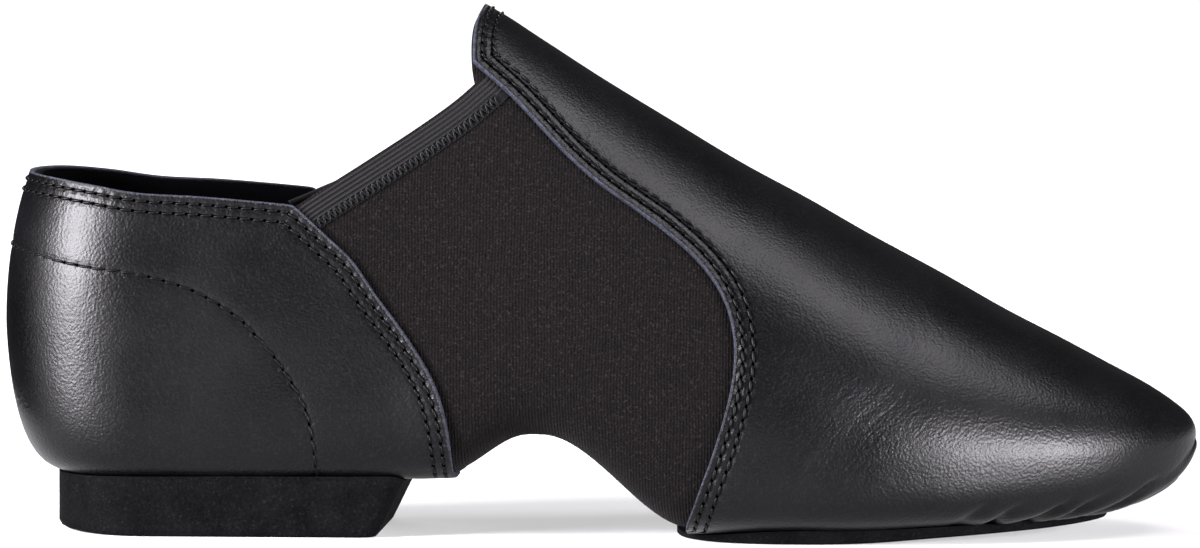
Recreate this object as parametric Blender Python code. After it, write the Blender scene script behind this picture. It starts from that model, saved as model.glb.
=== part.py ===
"""Slip-on jazz shoe for the right foot, with a split sole.

The toe points along +X, the outer side of the foot lies at -Y and the floor is z = 0.
Every piece of the upper is cut from one last, a closed form through the sections of a table.
"""

import math
from collections import namedtuple

import bmesh
import bpy

# Main sizes of the shoe, in metres.
LENGTH = 0.252
BALL_WIDTH = 0.088
THROAT_HEIGHT = 0.1113
SEAT_HEIGHT = 0.012
ARCH_HEIGHT = 0.0200

# Walls, soles and the clearance between neighbours.
LEATHER = 0.0012
STRETCH = 0.0015
INSOLE = 0.002
OUTSOLE = 0.0018
CLEARANCE = 0.0003
LASTING_MARGIN = 0.010

# The elastic band along the top edge of the gore.
BAND_WIDTH = 0.0068
BAND_TUCK = 0.006
INNER_DIP = 0.003

# Heel block: distance in from the back of the heel, breast rake and rounded rear edge.
HEEL_SETBACK = 0.0112
HEEL_BREAST = 0.0862
BREAST_RAKE = 0.006
BREAST_CORNER = 0.003
HEEL_ROUND_LENGTH = 0.005
HEEL_ROUND_HEIGHT = 0.0018

# Roundness of the heel seen from above: 1 is an ellipse, less is squarer.
HEEL_PLAN_POWER = 0.92

# Where the underside changes, as shares of LENGTH.
SEAT_END = 0.378
ARCH_START = 0.446
ARCH_END = 0.456
TREAD_START = 0.583
SPRING_START = 0.700

# Split sole outline, as shares of the length and of the last's width.
TREAD_REAR = 0.566
TREAD_WIDEST = 0.690
TREAD_FRONT = 0.925
TREAD_SHARE = 0.83
HEEL_SHARE = 0.83
SKIVE_SHARE = 0.45

# Roundness of the forefoot outsole's two ends: 2 is an ellipse, more is squarer.
TREAD_REAR_POWER = 3.0
TREAD_FRONT_POWER = 2.2

# How finely the faceted solids are cut. ARCH_ROWS are the rows of SECTIONS with a section between.
FAN_STEPS = 6
CROWN_STEPS = 8
ARCH_ROWS = (3, 8)
OUTLINE_STEPS = 2
TREAD_STEPS = 26
CORNER_STEPS = 3
PLACE_STEP = 0.02
INSOLE_LAST_ROW = 15
SHARP_ANGLE = math.radians(40)
TINY = 1e-6

# One row for each section of the last, from the middle of the heel to the toe tip. station is a
# share of LENGTH. widest and rise, the height of the widest line and of the ridge over it, are
# shares of THROAT_HEIGHT. lift goes from 0 on the tread to 1 at the toe tip. outer, inner and
# swing, the half widths and the shift of the middle, are shares of BALL_WIDTH. crown and base
# are the roundness of the upper and lower half: 1 is an ellipse, less is squarer.
Section = namedtuple("Section", "station widest rise lift outer inner swing crown base")
SECTIONS = (
    Section(0.127, 0.359, 0.584, 0.00, 0.347, 0.347, 0.000, 1.05, 0.20),
    Section(0.198, 0.350, 0.656, 0.00, 0.344, 0.339, 0.000, 1.03, 0.20),
    Section(0.270, 0.346, 0.705, 0.00, 0.347, 0.323, 0.002, 0.99, 0.20),
    Section(0.337, 0.359, 0.692, 0.00, 0.362, 0.307, 0.007, 0.96, 0.22),
    Section(0.397, 0.386, 0.621, 0.00, 0.394, 0.300, 0.014, 0.94, 0.28),
    Section(0.452, 0.395, 0.536, 0.00, 0.434, 0.307, 0.020, 0.93, 0.33),
    Section(0.508, 0.350, 0.500, 0.00, 0.474, 0.328, 0.026, 0.93, 0.30),
    Section(0.563, 0.279, 0.494, 0.00, 0.510, 0.364, 0.032, 0.94, 0.26),
    Section(0.619, 0.220, 0.477, 0.00, 0.536, 0.405, 0.038, 0.95, 0.24),
    Section(0.675, 0.184, 0.444, 0.00, 0.548, 0.435, 0.044, 0.95, 0.23),
    Section(0.730, 0.162, 0.394, 0.01, 0.543, 0.450, 0.052, 0.94, 0.23),
    Section(0.786, 0.151, 0.336, 0.05, 0.516, 0.441, 0.060, 0.93, 0.24),
    Section(0.837, 0.148, 0.274, 0.08, 0.472, 0.412, 0.067, 0.92, 0.27),
    Section(0.885, 0.153, 0.213, 0.11, 0.411, 0.364, 0.073, 0.92, 0.32),
    Section(0.925, 0.160, 0.158, 0.16, 0.340, 0.304, 0.078, 0.92, 0.37),
    Section(0.956, 0.168, 0.113, 0.27, 0.262, 0.234, 0.081, 0.92, 0.42),
    Section(0.980, 0.175, 0.071, 0.46, 0.174, 0.155, 0.083, 0.92, 0.44),
    Section(0.995, 0.182, 0.034, 0.72, 0.085, 0.074, 0.084, 0.92, 0.44),
    Section(1.000, 0.184, 0.000, 1.00, 0.000, 0.000, 0.084, 0.92, 0.44),
)
MIRRORED = ("widest", "swing", "crown", "base", "station")

# The back of the heel: height of its furthest point, and its roundness.
BACK_WIDEST = 0.404
BACK_CROWN = 1.08
BACK_BASE = 0.27
BACK_RATIO = 4.6

# How far round the lower half each sample lies, from the widest line to the middle below.
BASE_SHARES = (0.15, 0.30, 0.45, 0.58, 0.70, 0.81, 0.90, 0.96, 1.0)
BASE_RATIO = 2.25

# Lines seen from the side: station as a share of LENGTH, height as a share of THROAT_HEIGHT.
EdgePoint = namedtuple("EdgePoint", "station height")
COLLAR_LINE = (
    EdgePoint(-0.040, 0.684),
    EdgePoint(0.028, 0.682),
    EdgePoint(0.076, 0.670),
    EdgePoint(0.120, 0.655),
    EdgePoint(0.173, 0.649),
    EdgePoint(0.240, 0.637),
    EdgePoint(0.252, 0.632),
)
BAND_LINE = (
    EdgePoint(0.252, 0.632),
    EdgePoint(0.271, 0.661),
    EdgePoint(0.308, 0.715),
    EdgePoint(0.350, 0.778),
    EdgePoint(0.382, 0.830),
    EdgePoint(0.4015, 0.868),
)
THROAT_LINE = (
    EdgePoint(0.4015, 0.868),
    EdgePoint(0.3990, 0.903),
    EdgePoint(0.3985, 0.945),
    EdgePoint(0.4000, 0.979),
    EdgePoint(0.4030, 1.000),
)
VAMP_LINE = (
    EdgePoint(0.3995, 0.903),
    EdgePoint(0.412, 0.880),
    EdgePoint(0.434, 0.838),
    EdgePoint(0.456, 0.789),
    EdgePoint(0.482, 0.731),
    EdgePoint(0.509, 0.680),
    EdgePoint(0.536, 0.638),
    EdgePoint(0.562, 0.597),
    EdgePoint(0.594, 0.533),
    EdgePoint(0.615, 0.463),
    EdgePoint(0.6235, 0.380),
    EdgePoint(0.620, 0.289),
    EdgePoint(0.607, 0.184),
    EdgePoint(0.595, 0.110),
    EdgePoint(0.581, 0.023),
)
COUNTER_LINE = (
    EdgePoint(0.251, 0.632),
    EdgePoint(0.264, 0.606),
    EdgePoint(0.281, 0.571),
    EdgePoint(0.301, 0.528),
    EdgePoint(0.320, 0.466),
    EdgePoint(0.340, 0.406),
    EdgePoint(0.358, 0.345),
    EdgePoint(0.371, 0.288),
    EdgePoint(0.380, 0.216),
    EdgePoint(0.3845, 0.125),
    EdgePoint(0.382, 0.090),
)

# Sizes that follow from the ones above.
TREAD_TOP = OUTSOLE + CLEARANCE
SKIVED_TOP = SKIVE_SHARE * OUTSOLE + CLEARANCE
TIP_HEIGHT = SECTIONS[-1].widest * THROAT_HEIGHT
HEEL_MIDDLE = SECTIONS[0].station * LENGTH
LINING_OUTSIDE = LEATHER + CLEARANCE
LINING_INSIDE = LINING_OUTSIDE + STRETCH
REACH = 2 * BALL_WIDTH

Colour = namedtuple("Colour", "red green blue")
BLACK_LEATHER = Colour(0.021, 0.021, 0.024)
BLACK_KNIT = Colour(0.019, 0.015, 0.014)
BLACK_ELASTIC = Colour(0.014, 0.013, 0.014)
BLACK_RUBBER = Colour(0.017, 0.017, 0.018)
BLACK_LINING = Colour(0.012, 0.012, 0.013)


def clear_scene():
    """Removes what is in the scene."""
    for obj in list(bpy.data.objects):
        bpy.data.objects.remove(obj, do_unlink=True)


def new_collection(name):
    """A collection of this name under the scene's own."""
    collection = bpy.data.collections.new(name)
    bpy.context.scene.collection.children.link(collection)
    return collection


def new_material(name, colour, roughness):
    """A plain finish of one colour."""
    material = bpy.data.materials.new(name)
    material.use_nodes = True
    shader = material.node_tree.nodes["Principled BSDF"]
    shader.inputs["Base Color"].default_value = (*colour, 1.0)
    shader.inputs["Roughness"].default_value = roughness
    shader.inputs["Metallic"].default_value = 0.0
    return material


def smooth(share):
    """0 to 1 with a level start and end."""
    share = min(max(share, 0.0), 1.0)
    return share * share * (3.0 - 2.0 * share)


def blend(start, end, share):
    """The value a share of the way from start to end."""
    return start + (end - start) * share


def spline(before, start, end, after, share):
    """The point between start and end of a smooth curve through all four values."""
    slope = end - before
    bend = 2 * before - 5 * start + 4 * end - after
    twist = 3 * start - before - 3 * end + after
    return start + 0.5 * share * (slope + share * (bend + share * twist))


def curve_through(points, steps):
    """The points of a smooth line through these, with the ends kept."""
    before = [points[0], *points[:-2]]
    after = [*points[2:], points[-1]]
    line = []
    for first, start, end, last in zip(before, points[:-1], points[1:], after):
        for step in range(steps):
            share = step / steps
            line.append(tuple(spline(*four, share) for four in zip(first, start, end, last)))
    line.append(tuple(points[-1]))
    return line


def neighbour(row, field):
    """A field of a section, carried on past the first and the last row."""
    if row < 0:
        start = getattr(SECTIONS[0], field)
        second = getattr(SECTIONS[1], field)
        return 2 * start - second if field == "station" else second
    if row < len(SECTIONS):
        return getattr(SECTIONS[row], field)
    tip = getattr(SECTIONS[-1], field)
    previous = getattr(SECTIONS[-2], field)
    return previous if field in MIRRORED else 2 * tip - previous


def section_at(place):
    """The section at a place counted in rows of the table."""
    row = min(int(place), len(SECTIONS) - 2)
    share = place - row
    values = []
    for field in Section._fields:
        four = [neighbour(row + offset, field) for offset in (-1, 0, 1, 2)]
        values.append(spline(*four, share))
    return Section(*values)


def underside(x):
    """Height of the leather's underside along the middle, before the toe lifts."""
    station = x / LENGTH
    if station < ARCH_START:
        rise = smooth((station - SEAT_END) / (ARCH_START - SEAT_END))
        return blend(SEAT_HEIGHT, ARCH_HEIGHT, rise)
    if station < TREAD_START:
        fall = smooth((station - ARCH_END) / (TREAD_START - ARCH_END))
        return blend(ARCH_HEIGHT, SKIVED_TOP, fall)
    swell = smooth((station - TREAD_START) / (TREAD_WIDEST - TREAD_START))
    return blend(SKIVED_TOP, TREAD_TOP, swell)


def bottom_of(section):
    """Height of a section's lowest point."""
    low = underside(section.station * LENGTH)
    return blend(low, TIP_HEIGHT, section.lift)


def round_point(angle, widest, top, bottom, crown, base, ratio):
    """Share of the half width and the height at an angle from -90 (below) to 90 degrees (ridge)."""
    out = math.cos(angle)
    if out < TINY:
        out = 0.0
    if angle >= 0:
        return out**crown, widest + (top - widest) * math.sin(angle)
    down = math.sin(-angle) ** (ratio * base)
    return out**base, widest - (widest - bottom) * down


def angles_of(base, ratio):
    """The sample angles of a half section, from the middle below up to the ridge."""
    lower = [-math.pi / 2 * share ** (1 / (ratio * base)) for share in BASE_SHARES]
    upper = [math.pi / 2 * step / CROWN_STEPS for step in range(CROWN_STEPS + 1)]
    return [*reversed(lower), *upper]


def side_spoke(place, side):
    """The points of the half section at a place along the shoe; side is -1 outside, 1 inside."""
    section = section_at(place)
    half = section.outer if side < 0 else section.inner
    widest = section.widest * THROAT_HEIGHT
    top = widest + section.rise * THROAT_HEIGHT
    points = []
    bottom = bottom_of(section)
    for angle in angles_of(section.base, BASE_RATIO):
        out, z = round_point(
            angle, widest, top, bottom, section.crown, section.base, BASE_RATIO
        )
        y = (section.swing + side * half * out) * BALL_WIDTH
        points.append((section.station * LENGTH, y, z))
    return points


def heel_spoke(turn, side):
    """The points of a half section turned round the heel, from 0 at its side to 1 behind."""
    section = SECTIONS[0]
    share = math.sin(turn * math.pi / 2) ** 2
    back = math.sin(turn * math.pi / 2) ** HEEL_PLAN_POWER * HEEL_MIDDLE
    half = section.outer if side < 0 else section.inner
    across = max(math.cos(turn * math.pi / 2), 0.0) ** HEEL_PLAN_POWER * half * BALL_WIDTH
    if turn == 1:
        across = 0.0
    top = (section.widest + section.rise) * THROAT_HEIGHT
    widest = blend(section.widest, BACK_WIDEST, share) * THROAT_HEIGHT
    crown = blend(section.crown, BACK_CROWN, share)
    base = blend(section.base, BACK_BASE, share)
    ratio = blend(BASE_RATIO, BACK_RATIO, share)
    points = []
    for angle in angles_of(base, ratio):
        out, z = round_point(angle, widest, top, bottom_of(section), crown, base, ratio)
        points.append((HEEL_MIDDLE - back * out, side * across * out, z))
    return points


def last_places():
    """Where the last is cut into sections, counted in rows, with more of them over the arch."""
    halves = [row + 0.5 for row in range(*ARCH_ROWS)]
    return sorted([*range(len(SECTIONS)), *halves])


def last_spokes():
    """All half sections, from the toe tip along the outer side, round the heel and back."""
    places = last_places()
    outer = [side_spoke(place, -1) for place in reversed(places)]
    inner = [side_spoke(place, 1) for place in places]
    turns = [step / FAN_STEPS for step in range(1, FAN_STEPS + 1)]
    heel_outer = [heel_spoke(turn, -1) for turn in turns]
    heel_inner = [heel_spoke(turn, 1) for turn in reversed(turns[:-1])]
    return [*outer, *heel_outer, *heel_inner, *inner]


def last_form(inset):
    """The closed last as a mesh in bmesh, this far inside the outer face of the leather."""
    spokes = last_spokes()
    columns = len(spokes) - 1
    rows = len(spokes[0]) - 1
    form = bmesh.new()
    bmesh.ops.create_grid(form, x_segments=columns, y_segments=rows, size=0.5)
    for vert in form.verts:
        column = round((vert.co.x + 0.5) * columns)
        row = round((vert.co.y + 0.5) * rows)
        vert.co = spokes[column][row]
    bmesh.ops.remove_doubles(form, verts=form.verts, dist=TINY)
    bmesh.ops.triangulate(form, faces=form.faces)
    bmesh.ops.recalc_face_normals(form, faces=form.faces)
    form.normal_update()
    moves = [vert.normal * vert.calc_shell_factor() * inset for vert in form.verts]
    for vert, move in zip(form.verts, moves):
        vert.co -= move
    return form


def add_object(name, form, collection, material=None):
    """Makes an object of a bmesh, shaded smooth, with its middle at the origin in x."""
    bmesh.ops.translate(form, verts=form.verts, vec=(-LENGTH / 2, 0, 0))
    mesh = bpy.data.meshes.new(name)
    form.to_mesh(mesh)
    form.free()
    mesh.shade_smooth()
    mesh.set_sharp_from_angle(angle=SHARP_ANGLE)
    obj = bpy.data.objects.new(name, mesh)
    collection.objects.link(obj)
    if material:
        mesh.materials.append(material)
    else:
        obj.hide_render = True
        obj.display_type = "WIRE"
    return obj


def prism(points, lift):
    """A solid from a closed outline, drawn out along one direction."""
    form = bmesh.new()
    face = form.faces.new([form.verts.new(point) for point in points])
    drawn = bmesh.ops.extrude_face_region(form, geom=[face])
    moved = [item for item in drawn["geom"] if isinstance(item, bmesh.types.BMVert)]
    bmesh.ops.translate(form, verts=moved, vec=lift)
    bmesh.ops.recalc_face_normals(form, faces=form.faces)
    return form


def side_prism(outline, start, end):
    """A prism across the shoe from an outline seen from the side, between two places in y."""
    return prism([(x, start, z) for x, z in outline], (0, end - start, 0))


def plan_prism(outline, low, high):
    """An upright prism from an outline seen from above, between two heights."""
    return prism([(x, y, low) for x, y in outline], (0, 0, high - low))


def edge(points):
    """A line seen from the side, in metres."""
    line = curve_through(points, OUTLINE_STEPS)
    return [(station * LENGTH, height * THROAT_HEIGHT) for station, height in line]


def shifted(outline, distance, closed=True):
    """An outline moved to the left of its direction by a distance."""
    count = len(outline)
    moved = []
    for index, (x, y) in enumerate(outline):
        after = outline[(index + 1) % count] if closed else outline[min(index + 1, count - 1)]
        before = outline[index - 1] if closed or index else outline[0]
        along = (after[0] - before[0], after[1] - before[1])
        size = math.hypot(*along)
        moved.append((x - along[1] / size * distance, y + along[0] / size * distance))
    return moved


def dipped(line):
    """The band's line on the inner side, a little lower between its ends."""
    start = line[0][0]
    span = line[-1][0] - start
    return [(x, z - INNER_DIP * math.sin(math.pi * (x - start) / span)) for x, z in line]


def opening_outline(side):
    """What the foot's opening takes away on one side, seen from the side."""
    band = edge(BAND_LINE)
    if side > 0:
        band = dipped(band)
    line = [*edge(COLLAR_LINE)[:-1], *band[:-1], *edge(THROAT_LINE)]
    high = 2 * THROAT_HEIGHT
    return [*line, (line[-1][0], high), (line[0][0], high)]


def band_outline(side, margin):
    """The strip of the elastic, run on under the vamp and the counter, grown by a margin."""
    line = edge(BAND_LINE)
    if side > 0:
        line = dipped(line)
    lower = shifted(line, -BAND_WIDTH - margin, closed=False)
    upper = shifted(line, BAND_WIDTH, closed=False)
    first = (lower[1][0] - lower[0][0], lower[1][1] - lower[0][1])
    last = (lower[-1][0] - lower[-2][0], lower[-1][1] - lower[-2][1])
    back = -(BAND_TUCK + margin) / math.hypot(*first)
    ahead = (BAND_TUCK + margin) / math.hypot(*last)
    start = [(x + first[0] * back, z + first[1] * back) for x, z in (upper[0], lower[0])]
    end = [(x + last[0] * ahead, z + last[1] * ahead) for x, z in (lower[-1], upper[-1])]
    return [*start, *lower, *end, *reversed(upper)]


def vamp_outline():
    """The field of the vamp seen from the side, ahead of its rear edge."""
    line = edge(VAMP_LINE)
    high = 2 * THROAT_HEIGHT
    behind = line[0][0] - BAND_WIDTH
    ahead = LENGTH + REACH
    start = [(behind, high), (behind, line[0][1])]
    return [*start, *line, (line[-1][0], -REACH), (ahead, -REACH), (ahead, high)]


def counter_outline():
    """The field of the counter seen from the side, behind its front edge."""
    line = edge(COUNTER_LINE)
    high = 2 * THROAT_HEIGHT
    end = [(line[-1][0], -REACH), (-REACH, -REACH), (-REACH, high)]
    return [(line[0][0], high), *line, *end]


def half_widths_at(x):
    """Outer and inner half width and the middle of the last at a place along it."""
    place = 0.0
    while section_at(place).station * LENGTH < x:
        place += PLACE_STEP
    section = section_at(place)
    values = (section.outer, section.inner, section.swing)
    return [value * BALL_WIDTH for value in values]


def tread_outline(margin):
    """The forefoot outsole seen from above, drawn in by a margin."""
    sides = {-1: [], 1: []}
    for step in range(TREAD_STEPS + 1):
        along = -math.cos(math.pi * step / TREAD_STEPS)
        end = TREAD_REAR if along < 0 else TREAD_FRONT
        power = TREAD_REAR_POWER if along < 0 else TREAD_FRONT_POWER
        station = blend(TREAD_WIDEST, end, abs(along))
        share = TREAD_SHARE * max(1 - abs(along) ** power, 0.0) ** (1 / power)
        outer, inner, middle = half_widths_at(station * LENGTH)
        sides[-1].append((station * LENGTH, middle - outer * share))
        sides[1].append((station * LENGTH, middle + inner * share))
    outline = [*sides[-1], *reversed(sides[1][1:-1])]
    return shifted(outline, margin)


def heel_outline(back, front, margin):
    """The heel block seen from above, between its back and its breast, drawn in by a margin."""
    outline = []
    outer, inner, middle = half_widths_at(HEEL_MIDDLE)
    for step in range(2 * FAN_STEPS + 1):
        turn = math.pi * step / (2 * FAN_STEPS)
        half = inner if step < FAN_STEPS else outer
        across = math.copysign(abs(math.cos(turn)) ** HEEL_PLAN_POWER, math.cos(turn))
        x = HEEL_MIDDLE - (HEEL_MIDDLE - back - margin) * math.sin(turn) ** HEEL_PLAN_POWER
        outline.append((x, middle + (half * HEEL_SHARE - margin) * across))
    outer, inner, middle = half_widths_at(front)
    for side, half in ((-1, outer), (1, inner)):
        corner = []
        for step in range(CORNER_STEPS + 1):
            turn = math.pi / 2 * step / CORNER_STEPS
            x = front - margin - BREAST_CORNER * (1 - math.sin(turn))
            across = half * HEEL_SHARE - margin - BREAST_CORNER * (1 - math.cos(turn))
            corner.append((x, middle + side * across))
        outline += corner if side < 0 else reversed(corner)
    return outline


def heel_form():
    """The heel block as levels of its outline, with a rounded rear edge and a raked breast."""
    turns = [math.pi / 2 * step / CORNER_STEPS for step in range(CORNER_STEPS + 1)]
    heights = [HEEL_ROUND_HEIGHT * (1 - math.cos(turn)) for turn in turns]
    heights += [SEAT_HEIGHT, 2 * SEAT_HEIGHT]
    form = bmesh.new()
    levels = []
    for height in heights:
        low = max(1 - height / HEEL_ROUND_HEIGHT, 0.0)
        back = HEEL_SETBACK + HEEL_ROUND_LENGTH * (1 - math.sqrt(1 - low * low))
        front = HEEL_BREAST - BREAST_RAKE * max(1 - height / SEAT_HEIGHT, 0.0)
        levels.append([form.verts.new((*spot, height)) for spot in heel_outline(back, front, 0)])
    for level in levels:
        for start, end in zip(level, [*level[1:], level[0]]):
            form.edges.new((start, end))
    for lower, upper in zip(levels[:-1], levels[1:]):
        loops = [edge for edge in form.edges if all(v in lower or v in upper for v in edge.verts)]
        bmesh.ops.bridge_loops(form, edges=loops)
    form.faces.new(levels[0])
    form.faces.new(levels[-1])
    bmesh.ops.triangulate(form, faces=form.faces)
    bmesh.ops.recalc_face_normals(form, faces=form.faces)
    return form


def tread_profile():
    """The forefoot outsole seen from the side: level on the floor, lifted at the toe."""
    rear = TREAD_REAR * LENGTH - CLEARANCE
    front = TREAD_FRONT * LENGTH + CLEARANCE
    lower = [(rear, 0.0)]
    for step in range(2 * len(SECTIONS) - 1):
        here = section_at(step / 2)
        x = here.station * LENGTH
        if SPRING_START * LENGTH <= x <= front:
            lower.append((x, max(bottom_of(here) - TREAD_TOP, 0.0)))
    slope = (lower[-1][1] - lower[-2][1]) / (lower[-1][0] - lower[-2][0])
    lower.append((front, lower[-1][1] + slope * (front - lower[-1][0])))
    high = TIP_HEIGHT
    return [*lower, (front, high), (rear, high)]


def insole_profile():
    """What the insole fills inside the upper, seen from the side."""
    tops = []
    for step in range(2 * INSOLE_LAST_ROW + 1):
        section = section_at(step / 2)
        top = bottom_of(section) + LINING_INSIDE + CLEARANCE + INSOLE
        tops.append((section.station * LENGTH, top))
    start = [(-REACH, -REACH), (tops[-1][0], -REACH)]
    return [*start, *reversed(tops), (-REACH, tops[0][1])]


def cut(obj, cutter, operation="DIFFERENCE"):
    """Adds an exact Boolean to a piece."""
    modifier = obj.modifiers.new(operation.lower() + " " + cutter.name, "BOOLEAN")
    modifier.operation = operation
    modifier.solver = "EXACT"
    modifier.object = cutter


def make_cutters(collection):
    """The shapes that part the pieces from the last."""
    fields = {
        "opening_outer": side_prism(opening_outline(-1), CLEARANCE, -REACH),
        "opening_inner": side_prism(opening_outline(1), -CLEARANCE, REACH),
        "vamp_field": side_prism(vamp_outline(), -REACH, REACH),
        "counter_field": side_prism(counter_outline(), -REACH, REACH),
        "band_field_outer": side_prism(band_outline(-1, 0), 0, -REACH),
        "band_field_inner": side_prism(band_outline(1, 0), 0, REACH),
        "band_room_outer": side_prism(band_outline(-1, CLEARANCE), 0, -REACH),
        "band_room_inner": side_prism(band_outline(1, CLEARANCE), 0, REACH),
        "heel_hole": plan_prism(
            heel_outline(HEEL_SETBACK, HEEL_BREAST, LASTING_MARGIN), -SEAT_HEIGHT, 2 * SEAT_HEIGHT
        ),
        "tread_hole": plan_prism(tread_outline(LASTING_MARGIN), -SEAT_HEIGHT, SEAT_HEIGHT),
        "tread_field": side_prism(tread_profile(), -REACH, REACH),
        "insole_field": side_prism(insole_profile(), -REACH, REACH),
        "last_outside": last_form(-CLEARANCE),
        "leather_inside": last_form(LEATHER),
        "lining_inside": last_form(LINING_INSIDE),
    }
    return {name: add_object(name, form, collection) for name, form in fields.items()}


def make_upper(parts, cutters, material):
    """The stretch lining shell, open at the foot's opening and over both soles."""
    upper = add_object("upper", last_form(LINING_OUTSIDE), parts, material)
    names = ("opening_outer", "opening_inner", "band_room_outer", "band_room_inner")
    for name in ("lining_inside", *names, "heel_hole", "tread_hole"):
        cut(upper, cutters[name])


def make_leather(name, field, hole, parts, cutters, material):
    """A leather panel over the stretch shell."""
    panel = add_object(name, last_form(0), parts, material)
    cut(panel, cutters[field], "INTERSECT")
    for cutter in ("leather_inside", "opening_outer", "opening_inner", hole):
        cut(panel, cutters[cutter])


def make_band(name, side, parts, cutters, material):
    """The ribbed elastic on one side, in the layer of the stretch shell."""
    band = add_object(name, last_form(LINING_OUTSIDE), parts, material)
    cut(band, cutters["band_field_" + side], "INTERSECT")
    cut(band, cutters["lining_inside"])
    cut(band, cutters["opening_" + side])


def make_insole(parts, cutters, material):
    """The sock lining, which follows the inside of the upper."""
    inside = last_form(LINING_INSIDE + CLEARANCE)
    insole = add_object("insole", inside, parts, material)
    cut(insole, cutters["insole_field"], "INTERSECT")


def make_heel(parts, cutters, material):
    """The rubber block under the heel seat."""
    heel = add_object("heel", heel_form(), parts, material)
    cut(heel, cutters["last_outside"])


def make_outsole(parts, cutters, material):
    """The thin forefoot half of the split sole."""
    form = plan_prism(tread_outline(0), -OUTSOLE, TIP_HEIGHT)
    outsole = add_object("outsole_forefoot", form, parts, material)
    cut(outsole, cutters["tread_field"], "INTERSECT")
    cut(outsole, cutters["last_outside"])


def main():
    clear_scene()
    parts = new_collection("jazz_shoe")
    cutters = make_cutters(new_collection("cutters"))
    leather = new_material("black_leather", BLACK_LEATHER, 0.42)
    knit = new_material("black_knit", BLACK_KNIT, 0.9)
    elastic = new_material("black_elastic", BLACK_ELASTIC, 0.8)
    rubber = new_material("black_rubber", BLACK_RUBBER, 0.75)
    lining = new_material("black_lining", BLACK_LINING, 0.95)
    make_upper(parts, cutters, knit)
    make_leather("vamp", "vamp_field", "tread_hole", parts, cutters, leather)
    make_leather("counter", "counter_field", "heel_hole", parts, cutters, leather)
    make_band("elastic_band_outer", "outer", parts, cutters, elastic)
    make_band("elastic_band_inner", "inner", parts, cutters, elastic)
    make_outsole(parts, cutters, rubber)
    make_heel(parts, cutters, rubber)
    make_insole(parts, cutters, lining)


main()
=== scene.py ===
"""The looks of a slip-on jazz shoe for the right foot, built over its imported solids.

Each panel is a grid on the shoe's last, a closed form through the sections of a table. A place on
the last is a way, counted in sections from the middle of the back and below zero on the outer side,
and a rise, from -1 under the foot over 0 at the widest line to 1 at the ridge. Lengths are metres.
"""

import math
from collections import namedtuple

import bmesh
import bpy
import numpy as np
from bpy.props import FloatProperty, FloatVectorProperty, PointerProperty
from mathutils import Matrix, Vector, noise
from mathutils.bvhtree import BVHTree
from mathutils.kdtree import KDTree


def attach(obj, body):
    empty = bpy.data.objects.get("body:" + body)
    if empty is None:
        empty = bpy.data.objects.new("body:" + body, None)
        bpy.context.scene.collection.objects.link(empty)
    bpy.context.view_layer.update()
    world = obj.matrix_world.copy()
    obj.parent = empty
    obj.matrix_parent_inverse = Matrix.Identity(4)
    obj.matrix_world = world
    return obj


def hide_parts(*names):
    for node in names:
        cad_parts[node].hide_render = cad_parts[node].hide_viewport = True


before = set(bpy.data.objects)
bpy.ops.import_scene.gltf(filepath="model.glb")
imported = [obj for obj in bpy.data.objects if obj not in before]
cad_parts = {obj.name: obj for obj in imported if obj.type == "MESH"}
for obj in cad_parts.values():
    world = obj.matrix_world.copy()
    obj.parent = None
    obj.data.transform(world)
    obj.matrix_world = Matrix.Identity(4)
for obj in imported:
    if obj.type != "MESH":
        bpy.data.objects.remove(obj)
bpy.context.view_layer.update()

bl_info = {
    "name": "Jazz Shoe",
    "version": (1, 0, 0),
    "blender": (4, 5, 0),
    "location": "View3D > Sidebar > Jazz Shoe",
    "description": "Leather, knit, elastic, stitching and studio of a slip-on jazz shoe",
    "category": "Add Mesh",
}

# Main sizes of the shoe, as its solids have them.
LENGTH = 0.252
BALL_WIDTH = 0.088
THROAT_HEIGHT = 0.1113
SEAT_HEIGHT = 0.012
ARCH_HEIGHT = 0.0200
OUTSOLE = 0.0018
CLEARANCE = 0.0003
BAND_WIDTH = 0.0068
BAND_TUCK = 0.006
INNER_DIP = 0.003

# Heel block: how far its back and its breast are from the back of the heel, the breast's rake and
# corners, the rounded rear edge, how round the heel is from above, and its number of levels.
HEEL_SETBACK = 0.0112
HEEL_BREAST = 0.0862
BREAST_RAKE = 0.006
BREAST_CORNER = 0.003
HEEL_ROUND_LENGTH = 0.005
HEEL_ROUND_HEIGHT = 0.0018
HEEL_PLAN_POWER = 0.92
HEEL_LEVELS = 12

# The rounded lower edges of the heel block and the outsole: how far each ring is drawn in and how
# high it lies.
HEEL_RIM = ((0.012, 0.0), (0.0006, 0.0), (0.00035, 0.00006), (0.00012, 0.0002))
TREAD_RIM = ((0.020, 0.0), (0.010, 0.0), (0.0008, 0.0), (0.0003, 0.00008), (0.0, 0.0004))

# Where the underside changes, as shares of LENGTH.
SEAT_END = 0.378
ARCH_START = 0.446
ARCH_END = 0.456
TREAD_START = 0.583
SPRING_START = 0.700

# Split sole outline: its ends and widest line as shares of LENGTH, widths as shares of the last's,
# the thickness of the skived rear end as a share of OUTSOLE, and how square both ends are.
TREAD_REAR = 0.566
TREAD_WIDEST = 0.690
TREAD_FRONT = 0.925
TREAD_SHARE = 0.83
HEEL_SHARE = 0.83
SKIVE_SHARE = 0.45
TREAD_REAR_POWER = 3.0
TREAD_FRONT_POWER = 2.2

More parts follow.
